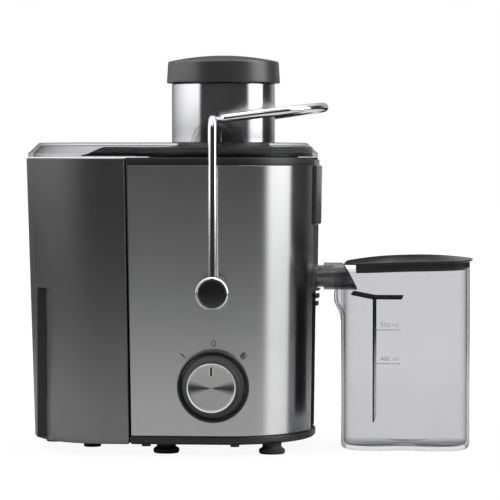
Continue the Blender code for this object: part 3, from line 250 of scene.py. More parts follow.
class Value:
    def __init__(self, tree, socket):
        self.tree, self.socket = tree, socket

    def node(self, kind, settings=None, inputs=None, out=0):
        made = self.tree.nodes.new(kind)
        for key, value in (settings or {}).items():
            setattr(made, key, value)
        for key, value in (inputs or {}).items():
            if isinstance(value, Value):
                self.tree.links.new(value.socket, made.inputs[key])
            else:
                made.inputs[key].default_value = value
        return Value(self.tree, made.outputs[out])

    def maths(self, operation, *others):
        values = dict(enumerate((self, *others)))
        return self.node("ShaderNodeMath", {"operation": operation}, values)

    def split(self):
        # the X, Y and Z of a vector
        made = self.node("ShaderNodeSeparateXYZ", None, {0: self}).socket.node
        return [Value(self.tree, output) for output in made.outputs]

    def __add__(self, other):
        return self.maths("ADD", other)

    def __sub__(self, other):
        return self.maths("SUBTRACT", other)

    def __mul__(self, other):
        return self.maths("MULTIPLY", other)

    def __truediv__(self, other):
        return self.maths("DIVIDE", other)

    def __pow__(self, other):
        return self.maths("POWER", other)

    def __rsub__(self, other):
        return self.node("ShaderNodeMath", {"operation": "SUBTRACT"}, {0: other, 1: self})

    __radd__ = __add__
    __rmul__ = __mul__


def newMaterial(name, colour, roughness, metallic=0.0, **fixed):
    made = bpy.data.materials.new(name)
    made.use_nodes = True
    tree = made.node_tree
    shader = tree.nodes["Principled BSDF"]
    shader.inputs["Base Color"].default_value = (*colour, 1)
    shader.inputs["Roughness"].default_value = roughness
    shader.inputs["Metallic"].default_value = metallic
    for key, value in fixed.items():
        shader.inputs[key.replace("_", " ")].default_value = value
    where = Value(tree, tree.nodes.new("ShaderNodeTexCoord").outputs["Object"])
    return made, shader, where


def stretch(where, scale, centre=(0, 0, 0)):
    moved = tuple(-c * s for c, s in zip(centre, scale))
    return where.node("ShaderNodeMapping", None, {"Vector": where, "Scale": scale, "Location": moved})


def noise(where, scale, detail=2.0, rough=0.5):
    inputs = {"Vector": where, "Scale": scale, "Detail": detail, "Roughness": rough}
    return where.node("ShaderNodeTexNoise", None, inputs)


def ramp(value, low, high):
    inputs = {"Value": value, "From Min": low, "From Max": high}
    return value.node("ShaderNodeMapRange", {"interpolation_type": "SMOOTHSTEP"}, inputs)


def between(where, factor, dark, light):
    return where.node("ShaderNodeMix", {"data_type": "RGBA"}, {0: factor, 6: (*dark, 1), 7: (*light, 1)}, out=2)


def connect(shader, socket, value):
    value.tree.links.new(value.socket, shader.inputs[socket])


def addBump(shader, height, strength, distance):
    bump = height.node("ShaderNodeBump", None, {"Height": height, "Strength": strength, "Distance": distance})
    connect(shader, "Normal", bump)


def shade(colour, factor):
    return tuple(min(1.0, c * factor) for c in colour)


def tone(shader, where, factor, colour, dark, light):
    # base colour between a darker and a lighter shade of itself
    connect(shader, "Base Color", between(where, factor, shade(colour, dark), shade(colour, light)))


def mouldedPlastic(name, colour, roughness, bump=0.10, **fixed):
    # fine spark-eroded grain, with faint handling marks and cloudy variation of the gloss
    made, shader, where = newMaterial(name, colour, roughness, **fixed)
    grains = noise(where, 2600, 2)
    clouds = noise(where, 24, 4, 0.6)
    smears = noise(stretch(where, (60, 60, 14)), 1, 5, 0.7)
    tone(shader, where, clouds * 0.6 + grains * 0.4, colour, 0.90, 1.10)
    connect(shader, "Roughness", (clouds - 0.5) * 0.10 + (smears - 0.5) * 0.08 + roughness)
    addBump(shader, grains, bump, 0.00006)
    return made


def brushedMetal(name, colour, roughness, lines, depth, spread=0.12, **fixed):
    # long fine scratches: noise stretched along the brushing, in two sizes
    made, shader, where = newMaterial(name, colour, roughness, 1.0, **fixed)
    fine = noise(stretch(where, lines), 1, 3, 0.6)
    broad = noise(stretch(where, tuple(v * 0.22 for v in lines)), 1, 2, 0.5)
    clouds = noise(where, 9, 3, 0.5)
    streaks = fine * 0.6 + broad * 0.4
    tone(shader, where, streaks, colour, 0.92, 1.08)
    connect(shader, "Roughness", (streaks - 0.5) * spread + (clouds - 0.5) * 0.05 + roughness)
    addBump(shader, streaks, depth, 0.00003)
    return made


def polishedMetal(name, colour, roughness):
    # cloudy polish with a few fine hairs
    made, shader, where = newMaterial(name, colour, roughness, 1.0)
    clouds = noise(where, 30, 4, 0.6)
    hairs = noise(stretch(where, (40, 40, 700)), 1, 3, 0.6)
    connect(shader, "Roughness", (clouds - 0.5) * 0.05 + (hairs - 0.5) * 0.04 + roughness)
    tone(shader, where, clouds, colour, 0.95, 1.04)
    addBump(shader, hairs, 0.03, 0.00002)
    return made


def spunMetalPaintedFan(name, colour, roughness, centre):
    # turned face: fine rings, with a painted reflection: the dark fan to each side, which such rings show in a wide
    # light, is painted into the base colour
    made, shader, where = newMaterial(name, colour, roughness, 1.0)
    a, _, b = stretch(where, (1, 1, 1), centre).split()
    radius = (a * a + b * b) ** 0.5
    place = radius.node("ShaderNodeCombineXYZ", None, {0: radius * 2600})
    rings = noise(place, 1, 3, 0.7)
    # painted reflection: a fan of dark colour to the left and right of the middle, fixed to the face
    fan = ramp((b / (radius + 0.0002)).maths("ABSOLUTE"), 0.04, 0.42)
    # base colour: mostly the painted reflection fan, partly the real ring grain
    tone(shader, where, fan * 0.86 + rings * 0.14, colour, 0.08, 1.1)
    connect(shader, "Roughness", (rings - 0.5) * 0.12 + roughness)
    addBump(shader, rings, 0.8, 0.00012)
    return made


def clearPlastic(name, tint, gloss, face, edge, sharp=3.0, ior=3.2):
    # tinted see-through wall: clear where it faces the eye, dense only where it is seen along the wall
    made, shader, where = newMaterial(name, gloss, 0.05, IOR=ior)
    grazing = where.node("ShaderNodeLayerWeight", None, {"Blend": 0.5}, out=1)
    clouds = noise(where, 40, 3, 0.6)
    connect(shader, "Roughness", (clouds - 0.5) * 0.03 + 0.045)
    addBump(shader, noise(where, 45, 1), 0.03, 0.0004)
    through = where.node("ShaderNodeBsdfTransparent", None, {"Color": (*tint, 1)})
    solid = (grazing ** sharp) * (edge - face) + (clouds - 0.5) * 0.02 + face
    glossy = Value(made.node_tree, shader.outputs[0])
    mixed = where.node("ShaderNodeMixShader", None, {0: solid, 1: through, 2: glossy})
    connect(made.node_tree.nodes["Material Output"], "Surface", mixed)
    return made


def rubberLike(name, colour):
    # matt, with a chalky bloom and a coarse grain
    made, shader, where = newMaterial(name, colour, 0.72)
    grains = noise(where, 1800, 3)
    chalk = noise(where, 60, 4, 0.7)
    tone(shader, where, chalk, colour, 0.8, 1.5)
    connect(shader, "Roughness", (chalk - 0.5) * 0.14 + 0.72)
    addBump(shader, grains, 0.25, 0.00010)
    return made


def windings(name, colour):
    # turns of enamelled wire laid side by side, with painted shade: the colour darkens between the turns
    made, shader, where = newMaterial(name, colour, 0.32, 0.9, Coat_Weight=0.5)
    inputs = {"Vector": where, "Scale": 900, "Distortion": 0.6}
    turns = where.node("ShaderNodeTexWave", {"bands_direction": "Z"}, inputs)
    # painted shade between neighbouring turns, down to under half the wire's colour
    connect(shader, "Base Color", between(where, turns, shade(colour, 0.45), colour))
    addBump(shader, turns, 0.6, 0.0003)
    return made


def perforated(name, colour, pitch=0.0014, radius=0.050, hole=0.26):
    # rows of small round holes, with every other row shifted by half a pitch
    made, shader, where = newMaterial(name, colour, 0.24, 1.0)
    x, y, z = stretch(where, (1, 1, 1), tuple(axis)).split()
    around = y.maths("ARCTAN2", x) * (radius / pitch)
    up = z * (1 / pitch)
    shift = up.maths("FLOOR").maths("MODULO", 2) * 0.5
    a = (around + shift).maths("FRACT") - 0.5
    b = up.maths("FRACT") - 0.5
    connect(shader, "Alpha", ((a * a + b * b) ** 0.5).maths("GREATER_THAN", hole))
    connect(shader, "Roughness", noise(where, 90, 3) * 0.15 + 0.16)
    return made


darkPlastic = mouldedPlastic("satinGreyPlastic", (0.020, 0.020, 0.0205), 0.36, IOR=1.85, Specular_IOR_Level=1.0,
                             Anisotropic=0.85)
capPlastic = mouldedPlastic("capPlastic", (0.042, 0.042, 0.043), 0.34, bump=0.06, Specular_IOR_Level=0.8)
blackPlastic = mouldedPlastic("glossBlackPlastic", (0.012, 0.012, 0.013), 0.22, bump=0.03)
smokedPlastic = mouldedPlastic("smokedPlastic", (0.085, 0.085, 0.087), 0.20, bump=0.03)
blackSatin = mouldedPlastic("satinBlackPlastic", (0.016, 0.016, 0.017), 0.40)
palePlastic = mouldedPlastic("palePlastic", (0.62, 0.61, 0.57), 0.48)
acrossLines = {"Anisotropic": 0.85, "Anisotropic_Rotation": 0.25}
brushedSteel = brushedMetal("brushedPanel", (0.52, 0.52, 0.525), 0.21, lines=(4, 4, 3000), depth=0.4, spread=0.05,
                            **acrossLines)
sleeveSteel = brushedMetal("sleeveSteel", (0.62, 0.62, 0.63), 0.18, lines=(7, 7, 1700), depth=0.06, spread=0.05,
                           **acrossLines)
polishedSteel = polishedMetal("polishedSteel", (0.60, 0.60, 0.61), 0.15)
chrome = polishedMetal("chromePlate", (0.82, 0.82, 0.83), 0.11)
rimMetal = polishedMetal("rimMetal", (0.95, 0.95, 0.95), 0.30)
laminated = brushedMetal("laminatedIron", (0.26, 0.26, 0.27), 0.42, lines=(3, 3, 2400), depth=0.6)
screwSteel = polishedMetal("zincedSteel", (0.50, 0.50, 0.50), 0.30)
blackenedSteel = polishedMetal("blackenedSteel", (0.05, 0.05, 0.05), 0.35)
copper = windings("enamelledCopper", (0.55, 0.20, 0.07))
carbon = rubberLike("pressedCarbon", (0.03, 0.03, 0.03))
bezelPlastic = mouldedPlastic("dialPlastic", (0.034, 0.034, 0.035), 0.44, bump=0.05)
rubber = rubberLike("blackRubber", (0.016, 0.016, 0.016))
smokedClear = clearPlastic("smokedCover", (0.90, 0.90, 0.905), (0.030, 0.030, 0.031), 0.06, 0.86, sharp=4.0, ior=1.6)
lugClear = clearPlastic("clearLug", (0.93, 0.93, 0.93), (0.030, 0.030, 0.031), 0.05, 0.85)
darkSmoked = clearPlastic("darkCollector", (0.62, 0.62, 0.63), (0.19, 0.19, 0.192), 0.50, 0.85, ior=2.0)
jugClear = clearPlastic("jugPlastic", (0.905, 0.905, 0.91), (0.045, 0.045, 0.046), 0.06, 0.90, sharp=4.0, ior=1.7)
dividerClear = clearPlastic("dividerPlastic", (0.30, 0.30, 0.31), (0.020, 0.020, 0.021), 0.55, 0.95, ior=1.7)
filterSteel = perforated("filterSteel", (0.62, 0.62, 0.63))
print("materials ready")


def dress(piece, material, slotName, *replaced):
    piece.data.materials.clear()
    piece.data.materials.append(material)
    if replaced:
        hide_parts(*replaced)


def paint(node, material):
    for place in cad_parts[node].material_slots:
        place.material = material


# ---- motor base: steel front, plastic shell, base plate ----

def endWall(inset, turn):
    # X and Y round the body's elliptical right end
    x = body["right"] - body["endRound"] + (body["endRound"] - inset) * np.cos(turn)
    return x, (body["depth"] - inset) * np.sin(turn)


def makeSteelWrap():
    # one strip of sheet: the flat front, then the elliptical end up to the outlet slot
    low, high = wrapLow[2], wrapHigh[2]
    steel, hem = body["steel"], 0.0005
    profile = np.array([(0, low + hem), (0, high - hem), (hem, high), (steel, high), (steel, low), (hem, low)])
    inset, z = profile[:, 0:1], profile[:, 1:2]
    flat = np.linspace(body["split"] + body["corner"], body["right"] - body["endRound"], 30)[None, :-1]
    lastTurn = -math.asin(body["steelEnd"] / body["depth"])
    endX, endY = endWall(inset, np.linspace(-math.pi / 2, lastTurn, 90)[None, :])
    x = np.concatenate([flat + 0 * inset, endX], axis=1)
    y = np.concatenate([0 * flat - (body["depth"] - inset), endY], axis=1)
    dress(surface("steelWrap", leaned(x, y, z) + axis, strip=True), brushedSteel, "brushed_panel", "steel_wrap")


def makeShell():
    wall, top, low, join = body["wall"], body["top"], shellLow[2], wrapHigh[2] + 0.0004
    collar = [(0, join), (0, top - 0.0008), (0.0003, top - 0.0002), (0.0009, top), (wall, top), (wall, join)]
    band = surface("topCollar", bodyRows(collar, gap=body["slot"]) + axis, strip=True)
    dress(band, blackSatin, "dark_plastic", "body_shell")
    # below the collar the wall's outer face steps back behind the steel
    rows = [(0, low), (0, join), (wall, join), (wall, low)]
    points = bodyRows(rows, gap=body["slot"])
    setBack = bodyRows([(body["steel"] + 0.0005, z) for _, z in rows], gap=body["slot"])
    behind = (points[..., 1] < -body["steelEnd"] * 0.95) & (points[..., 0] > body["split"] + body["corner"])
    behind[2:] = False
    points = np.where(behind[..., None], setBack, points)
    dress(surface("bodyWall", points + axis, strip=True), blackSatin, "dark_plastic")
    deck = {"top": 0.124, "thick": 0.003, "hole": 0.0105}
    oval = bodyRows([(wall - 0.0002, deck["top"] - deck["thick"]), (wall - 0.0002, deck["top"])])
    hole = circleRows(deck["hole"], oval[..., 2], np.arctan2(oval[..., 1], oval[..., 0]))
    piece = surface("innerDeck", np.concatenate([oval, hole[::-1]]) + axis, closeRows=True)
    dress(piece, blackSatin, "dark_plastic")


def makeBasePlate():
    low, high = baseLow[2], baseHigh[2]
    rim, floor = 0.004, 0.003
    profile = soften([(0.0016, low), (0, low + 0.0016), (0, high), (rim, high), (rim, low + floor)], 0.0008)
    rows = bodyRows([*profile, (0.012, low + floor)])
    bottom, middle = (row * [0, 0, 1] for row in (rows[:1], rows[-1:]))
    piece = surface("basePlate", np.concatenate([bottom, rows, middle]) + axis)
    dress(piece, blackSatin, "black_plastic", "base_plate")
    # louvres under the motor
    louvre = {"pitch": 0.009, "half": 0.0016, "reach": 0.025}
    for i in range(-3, 4):
        x = i * louvre["pitch"]
        slot = oblong(x - louvre["half"], x + louvre["half"], -louvre["reach"], louvre["reach"])
        rib = prism(f"louvre{i + 4}", slot, low - 0.0005, low + 0.0006, way="Z", soft=0.0003)
        dress(rib, blackPlastic, "black_plastic")


def makeFeet():
    top = baseLow[2] - 0.0002
    for name in ("foot_front_left", "foot_front_right", "foot_rear_left", "foot_rear_right"):
        centre, r = footprint(name)
        outer = [(0, top), (0.0078, top), (0.0074, 0.0062), (0.0080, 0.0050), (r, 0.0036), (r, 0.0012), (r - 0.0008, 0)]
        inner = [(r - 0.0022, 0), (0.0062, 0.0018), (0, 0.0022)]
        profile = soften([*outer, *inner], [0, 0.0004, 0.0010, 0.0014, 0.0006, 0.0006, 0.0004, 0.0006, 0.001, 0])
        foot = lathe(name.replace("_", "") + "Cup", profile, centre, closed=False, count=64)
        dress(foot, rubber, "rubber", name)


# ---- pulp bin ----

grip = {
    "top": 0.130,
    "left": -0.1455,
    "leftY": -0.0478,
    "knee": -0.1375,
    "kneeY": -0.0485,
    "right": -0.1283,
    "rightY": -0.0705,
}


def makeBin():
    wall, low, high = 0.0022, binLow[2], binHigh[2]
    top = grip["top"]
    outer = [(0.0012, low), (0.0004, low + 0.0003), (0, low + 0.0010)]
    outer += [(0, z) for z in np.linspace(low + 0.004, top - 0.0012, 12)]
    outer += [(0, top - 0.0004), (0, top + 0.0004), (0, 0.20), (0, high - 0.0005), (0.0005, high)]
    inner = [(wall - 0.0004, high), (wall, high - 0.001), (wall, top + wall), (wall, top + wall - 0.0006)]
    inner += [(wall, low + wall + 0.003), (wall + 0.003, low + wall)]
    rows = np.array(outer + inner)
    small, big = (body["corner"],) * 2, (body["endRound"], body["depth"])
    points = outlineRows(rows, binLow[0] - axis[0], body["split"] - 0.0006, big, small, steps=64)
    # the finger grip: points of the front left corner move onto a notch with a short and a long side
    x, y, z = points[..., 0], points[..., 1], points[..., 2]
    across, knee = ((v - grip["left"]) / (grip["right"] - grip["left"]) for v in (x, grip["knee"]))
    isInner = (np.arange(len(rows)) >= len(outer))[:, None]
    limit = np.where(isInner, top + wall - 0.0003, top)
    active = (across > 0) & (across < 1) & (y < 0) & (z < limit) & (z > low + 0.0001)
    first = np.clip(across / knee, 0, 1)
    second = np.clip((across - knee) / (1 - knee), 0, 1)
    notchY = grip["leftY"] + (grip["kneeY"] - grip["leftY"]) * first + (grip["rightY"] - grip["kneeY"]) * second
    y[active] = np.maximum(y, notchY + np.where(isInner, wall, 0.0))[active]
    dress(closedFloor("pulpBinShell", points, "bin"), darkPlastic, "dark_plastic", "pulp_bin")
    # painted shade: a black strip on the grip's inner face, where the recess lies in shade
    strip = oblong(grip["left"] + 0.0003, grip["knee"] - 0.0002, low + 0.0014, top - 0.0006)
    gripShadeStrip = prism("gripPaintedShade", strip, grip["kneeY"] - 0.0004, grip["leftY"] + 0.0002, rideOn="bin")
    dress(gripShadeStrip, blackSatin, "dark_plastic")
    for i in range(3):
        node = f"bin_pad_{i + 1}"
        centre, r = footprint(node)
        high = corners(node)[1][2]
        profile = soften([(0, high), (r, high), (r, 0), (0, 0)], [0, 0.0004, 0.0008, 0])
        dress(lathe(f"binPad{i + 1}", profile, centre, closed=False, count=48, rideOn="bin"), rubber, "rubber", node)


def closedFloor(name, points, rideOn):
    # the first and last rows are drawn in to a point, which closes the underside and the floor
    ends = [points[:1].copy(), points[-1:].copy()]
    for end in ends:
        end[..., :2] = end[..., :2].mean(axis=1, keepdims=True)
    return surface(name, np.concatenate([ends[0], points, ends[1]]) + axis, rideOn=rideOn)


# ---- cover with its feed chute, steel sleeve and pusher ----

cover = {
    "top": 0.2458,
    "inset": 0.0015,
    "rim": 0.0035,
    "wall": 0.0022,
    "bore": 0.0375,
    "chute": 0.0397,
    "discZ": 0.2442,
    # half discs that the lock arm lies over: radius, depth sunk in the cover, near and far face
    "discs": {"armLug": (0.0215, 0.0012, 0.0455, 0.0495), "armSaddle": (0.0158, 0.0010, 0.0700, 0.0745)},
    "ribHalf": 0.0015,
    "ribTop": 0.2598,
    "ribFaces": (0.0488, 0.0712),
}


def makeCover():
    base, top, inset, wall = body["top"] + 0.0003, cover["top"], cover["inset"], cover["wall"]
    rimTop, bore, chute = base + cover["rim"], cover["bore"], cover["chute"]
    chuteLow, chuteTop = coverLow[2], coverHigh[2]
    ovals = soften([(inset, base), (inset, rimTop), (inset + 0.0012, rimTop + 0.0006), (inset + 0.0088, top),
                    (inset + 0.020, top)], [0, 0.0008, 0.0006, 0.0035, 0])
    circles = soften([(chute + 0.004, top), (chute, top), (chute, chuteTop), (bore, chuteTop), (bore, chuteLow),
                      (chute, chuteLow), (chute, top - wall), (chute + 0.004, top - wall)],
                     [0, 0.0012, 0.0008, 0.0008, 0.0008, 0.0008, 0.0012, 0])
    under = soften([(inset + 0.020, top - wall), (inset + 0.0098, top - wall), (inset + 0.004, base + 0.0028),
                    (inset + 0.004, base)], [0, 0.003, 0.001, 0])
    big = (body["endRound"], body["depth"])

    def ovalRows(rows):
        return outlineRows(rows, binLow[0] - axis[0], body["right"], big, big, taper=False, steps=48)

    oval = ovalRows([(0.0, base)])
    rounds = circleRows(circles[:, 0:1], circles[:, 1:2], np.arctan2(oval[..., 1], oval[..., 0]))
    points = np.concatenate([ovalRows(ovals), rounds, ovalRows(under)]) + axis
    dress(surface("coverShell", points, closeRows=True), smokedClear, "smoked_plastic", "cover")
    # upright lugs and ribs, front and rear
    start = math.asin(0.0006 / cover["discs"]["armLug"][0])
    turns = np.linspace(start, math.pi - start, 48)
    for way, side in ((-1, "Front"), (1, "Rear")):
        for name, (radius, sunk, *faces) in cover["discs"].items():
            half = np.column_stack([radius * np.cos(turns), cover["discZ"] + radius * np.sin(turns)])
            half = half[half[:, 1] > top - sunk]
            piece = prism(name + side, half, *sorted(way * face for face in faces), soft=0.0006)
            dress(piece, lugClear, "smoked_plastic")
        rib = oblong(-cover["ribHalf"], cover["ribHalf"], top - 0.001, cover["ribTop"])
        piece = prism("armRib" + side, rib, *sorted(way * face for face in cover["ribFaces"]))
        dress(piece, lugClear, "smoked_plastic")


def makeSleeve():
    low, high = sleeveLow[2], sleeveHigh[2]
    outer, inner = sleeveRadius, 0.0400
    profile = soften([(outer, low), (outer, high), (inner, high), (inner, low)], [0.0003, 0.0008, 0.0003, 0.0003],
                     closed=True)
    dress(lathe("chuteSleeve", profile, count=160), sleeveSteel, "polished_steel", "chute_sleeve")


def makePusher():
    low, high = corners("pusher_cap")
    rim, top = sleeveHigh[2] + 0.0006, high[2]
    wide = (high[0] - low[0]) / 2
    edge = wide - 0.0014
    skirt, stem, wall = wide - 0.0018, 0.0342, 0.0020
    dome = [(edge * share, top - 0.0049 * share ** 2) for share in np.linspace(0, 1, 14)]
    outside = [*dome, (wide - 0.0009, top - 0.0060), (wide, rim + 0.0014), (wide, rim)]
    inside = [(skirt, rim), (skirt, rim + 0.003), (stem, rim + 0.003), (stem, low[2]), (stem - wall, low[2]),
              (stem - wall, rim + 0.002), (0, rim + 0.002)]
    radii = [0] * 13 + [0.0005, 0.0012, 0.0010, 0.0006, 0.0004, 0.0004, 0.0006, 0.0004, 0.0004, 0.0004, 0]
    cap = lathe("pusherCap", soften([*outside, *inside], radii), closed=False, count=160, rideOn="pusher")
    dress(cap, capPlastic, "dark_plastic", "pusher_cap")
    paint("pusher_body", darkPlastic)


# ---- lock arm and its pivots ----

arm = {
    "radius": 0.0035,
    "legY": 0.094,
    "barY": 0.056,
    "barZ": 0.264,
    "tilt": 0.128,  # rise of the top bar for each metre to the right
    "straight": 0.030,
    "right": 0.0816,
    "bend": 0.010,
    "eyeBore": 0.0043,
    "eyeFaces": (0.0908, 0.0971),
    "ring": 0.0129,
}


def makeArm():
    pivotLow, pivotHigh = corners("pivot_cap_front")
    pivotZ = (pivotLow[2] + pivotHigh[2]) / 2

    def bar(x, y):
        return np.stack([x, y, arm["barZ"] + arm["tilt"] * x], axis=-1)

    leg, y = arm["legY"], arm["barY"]
    path = [(0, -leg, pivotZ), (0, -leg, arm["barZ"]), (0, -y, arm["barZ"]), bar(arm["straight"], -y)]
    side = soften(path, arm["bend"], steps=14)
    lift = np.linspace(side[0], side[1], 20)[:-1]
    side = np.concatenate([lift, side[1:-1], np.linspace(side[-2], side[-1], 6)[1:]])
    turn = np.radians(np.linspace(-90, 90, 90))[1:-1]
    loop = bar(arm["straight"] + (arm["right"] - arm["straight"]) * np.cos(turn), y * np.sin(turn))
    path = np.concatenate([side, loop, side[::-1] * [1, -1, 1]])
    dress(tube("armRod", path, arm["radius"], rideOn="arm"), chrome, "chrome", "lock_arm")
    centre = axis + [0, 0, pivotZ]
    for way, end in (("-Y", "front"), ("Y", "rear")):
        low, high = corners(f"pivot_cap_{end}")
        near, far = sorted(abs(np.array([low[1], high[1]]) - axis[1]))
        r = (high[0] - low[0]) / 2
        eyeNear, eyeFar = arm["eyeFaces"]
        eye = soften([(r, eyeNear), (r, eyeFar), (arm["eyeBore"], eyeFar), (arm["eyeBore"], eyeNear)], 0.0007,
                     closed=True)
        dress(lathe(f"armEye{end.title()}", eye, centre, way, 96, rideOn="arm"), chrome, "chrome")
        cap = soften([(0, far), (r - 0.004, far), (r - 0.0016, far - 0.0003), (r - 0.0004, near), (0, near)],
                     [0, 0.002, 0.0008, 0.0003, 0])
        dress(lathe(f"pivotCap{end.title()}", cap, centre, way, 96, closed=False, rideOn="arm"), blackPlastic,
              "black_plastic", f"pivot_cap_{end}")
        outer, inner = arm["ring"], r + 0.0001
        trim = soften([(outer, near), (outer, far - 0.0008), (outer - 0.0007, far), (inner, far - 0.0004),
                       (inner, near)], 0.0004, closed=True)
        dress(lathe(f"pivotRing{end.title()}", trim, centre, way, rideOn="arm"), chrome, "chrome",
              f"pivot_ring_{end}")
        paint(f"pivot_bush_{end}", blackSatin)
        paint(f"pivot_screw_{end}", screwSteel)


# ---- dial ----

def makeDial():
    low, high = corners("dial_bezel")
    centre = axis + [0, 0, (low[2] + high[2]) / 2]
    r = (high[0] - low[0]) / 2
    back, top = axis[1] - high[1], axis[1] - low[1]
    bezel = soften([(r, back), (r, top - 0.0004), (r - 0.0011, top), (r - 0.0026, top - 0.0016), (r - 0.0027, back)],
                   0.0008, closed=True)
    dress(lathe("dialBezel", bezel, centre, "-Y", 160), bezelPlastic, "black_plastic", "dial_bezel")
    knobLow, knobHigh = corners("knob_body")
    wide = (knobHigh[0] - knobLow[0]) / 2
    back, top = axis[1] - knobHigh[1], axis[1] - knobLow[1]
    skirt = [(0.0040, back), (wide, back), (wide, back + 0.0026), (wide - 0.0020, back + 0.0044)]
    side = [(0.0206, back + 0.0056), (0.0196, top - 0.0012), (0.0188, top), (0.0185, top), (0.0185, top - 0.0012),
            (0, top - 0.0012)]
    radii = [0, 0, 0.0006, 0.0012, 0.0012, 0.0015, 0.0008, 0.0005, 0.0002, 0.0002, 0]
    profile = soften([(0, back), *skirt, *side], radii)
    knob = lathe("knobBody", profile, centre, "-Y", 200, closed=False, rideOn="knob")
    dress(knob, bezelPlastic, "black_plastic", "knob_body")
    discLow, discHigh = corners("knob_disc")
    r, face = (discHigh[0] - discLow[0]) / 2, axis[1] - discLow[1]
    back = axis[1] - discHigh[1]
    disc = soften([(0, face - 0.0003), (r - 0.0022, face - 0.0003), (r - 0.0016, face), (r - 0.0004, face - 0.0003),
                   (r, face - 0.0012), (r, back), (0, back)], [0, 0.0006, 0.0004, 0.0004, 0.0002, 0.0002, 0])
    # the dial face's base colour holds a painted reflection fan
    spun = spunMetalPaintedFan("spunDialFacePaintedFan", (0.56, 0.56, 0.565), 0.34, tuple(centre))
    dress(lathe("knobFace", disc, centre, "-Y", 160, closed=False, rideOn="knob"), spun, "brushed_panel", "knob_disc")
    rim = soften([(r + 0.0001, face - 0.0012), (r + 0.0001, face + 0.0002), (r - 0.0008, face + 0.0005),
                  (r - 0.0011, face - 0.0001), (r - 0.0007, face - 0.0012)], 0.0003, closed=True)
    dress(lathe("knobRim", rim, centre, "-Y", 160, rideOn="knob"), rimMetal, "brushed_panel")
    # pointer at the top of the knob: a dark line between two pale ones
    pointer = ((0, 0.0007, blackPlastic), (-0.0014, 0.0004, palePlastic), (0.0014, 0.0004, palePlastic))
    for i, (x, half, finish) in enumerate(pointer):
        mark = oblong(x - half, x + half, 0.0095 + centre[2], r - 0.0028 + centre[2])
        line = prism(f"pointer{i + 1}", mark, -face - 0.00004, -face + 0.0006, soft=0, rideOn="knob")
        dress(line, finish, "black_plastic")
    makeDialMarks(centre[2])
    paint("switch_shaft", palePlastic)
    paint("speed_switch", blackSatin)


inkLifts = (-0.00005, 0.00012)  # a print's back and face, out from the steel


def frontY(z):
    return -body["depth"] * scaleAt(z)


def onSteel(outline, lift):
    return np.column_stack([outline[:, 0], frontY(outline[:, 1]) - lift, outline[:, 1]])


def onFront(name, shapes):
    # thin print on the leaning steel front: each shape is an outline in X and Z
    points, faces, start = [], [], 0
    for outline in shapes:
        points += [onSteel(np.asarray(outline), lift) for lift in inkLifts]
        faces += slabFaces(len(outline), start)
        start += 2 * len(outline)
    dress(finishMesh(name, np.concatenate(points) + axis, faces), blackSatin, "black_plastic")


marks = {"radius": 0.0338, "height": 0.0052, "stroke": 0.0008, "gap": 0.0022, "zero": (0.0018, 0.0024), "line": 0.0006}


def makeDialMarks(z):
    tall, thin, half = marks["height"] / 2, marks["stroke"] / 2, marks["gap"] / 2

    def strip(angle, aside):
        # a bar that points at the dial's middle
        out = np.array([math.sin(angle), math.cos(angle)])
        across = np.array([out[1], -out[0]])
        return [(0, z) + across * a + out * (marks["radius"] + b)
                for a, b in oblong(aside - thin, aside + thin, -tall, tall)]

    eighth = math.radians(45)
    onFront("markOne", [strip(-eighth, 0)])
    onFront("markTwo", [strip(eighth, -half), strip(eighth, half)])
    # the zero is a ring between two ellipses
    turn = np.linspace(0, 2 * np.pi, 40, endpoint=False)
    centre = z + marks["radius"] - 0.0002
    wide, high = marks["zero"]
    outer, inner = (np.column_stack([(wide - s) * np.cos(turn), centre + (high - s) * np.sin(turn)])
                    for s in (0, marks["line"]))
    back, face = inkLifts
    points = np.stack([onSteel(outer, back), onSteel(outer, face), onSteel(inner, face), onSteel(inner, back)]) + axis
    dress(surface("markZero", points, closeRows=True), blackSatin, "black_plastic")


# ---- collector, shield and spout ----

collector = {"radius": 0.0645, "wall": 0.0022, "low": 0.1255, "top": 0.233, "neck": 0.0162, "neckTop": 0.156}
ring = {"inner": 0.0622, "outer": 0.0723, "low": 0.2348, "high": 0.2424}
shield = {"thick": 0.0022, "proud": 0.0022, "step": 0.180, "half": 0.0235, "low": 0.1265, "top": 0.2322}
spoutRibs = {"top": 0.1300, "pitch": 0.0062, "half": 0.0125, "narrower": 0.0022, "tall": 0.0034, "slant": 0.002}


def makeCollector():
    r, low, top, neck, neckTop = (collector[key] for key in ("radius", "low", "top", "neck", "neckTop"))
    inner, floor = r - collector["wall"], low + collector["wall"]
    profile = soften([(r, top), (r, low), (neck - 0.0022, low), (neck - 0.0022, neckTop), (neck, neckTop),
                      (neck, floor + 0.002), (inner - 0.006, floor), (inner, floor + 0.006), (inner, top)],
                     [0.0006, 0.003, 0.0006, 0.0006, 0.0006, 0.002, 0.004, 0.004, 0.0006], closed=True)
    dress(lathe("collectorBowl", profile), darkSmoked, "smoked_plastic", "juice_collector")
    # dark ring and pulp ramp that show through the cover
    inner, outer, low, high = (ring[key] for key in ("inner", "outer", "low", "high"))
    profile = soften([(outer, low), (outer, high), (inner, high), (inner, low)], 0.0008, closed=True)
    dress(lathe("collectorRing", profile), blackSatin, "smoked_plastic")
    x = np.linspace(-0.108, -0.0725, 28)
    fall = high - 0.0064 * smoothStep((-0.0880 - x) / 0.020)
    outline = np.concatenate([np.column_stack([x, fall]), [(x[-1], 0.2350), (x[0], 0.2350)]])
    dress(prism("pulpRamp", outline, -0.058, 0.058), blackSatin, "smoked_plastic")
    makeShield()
    makeSpout()


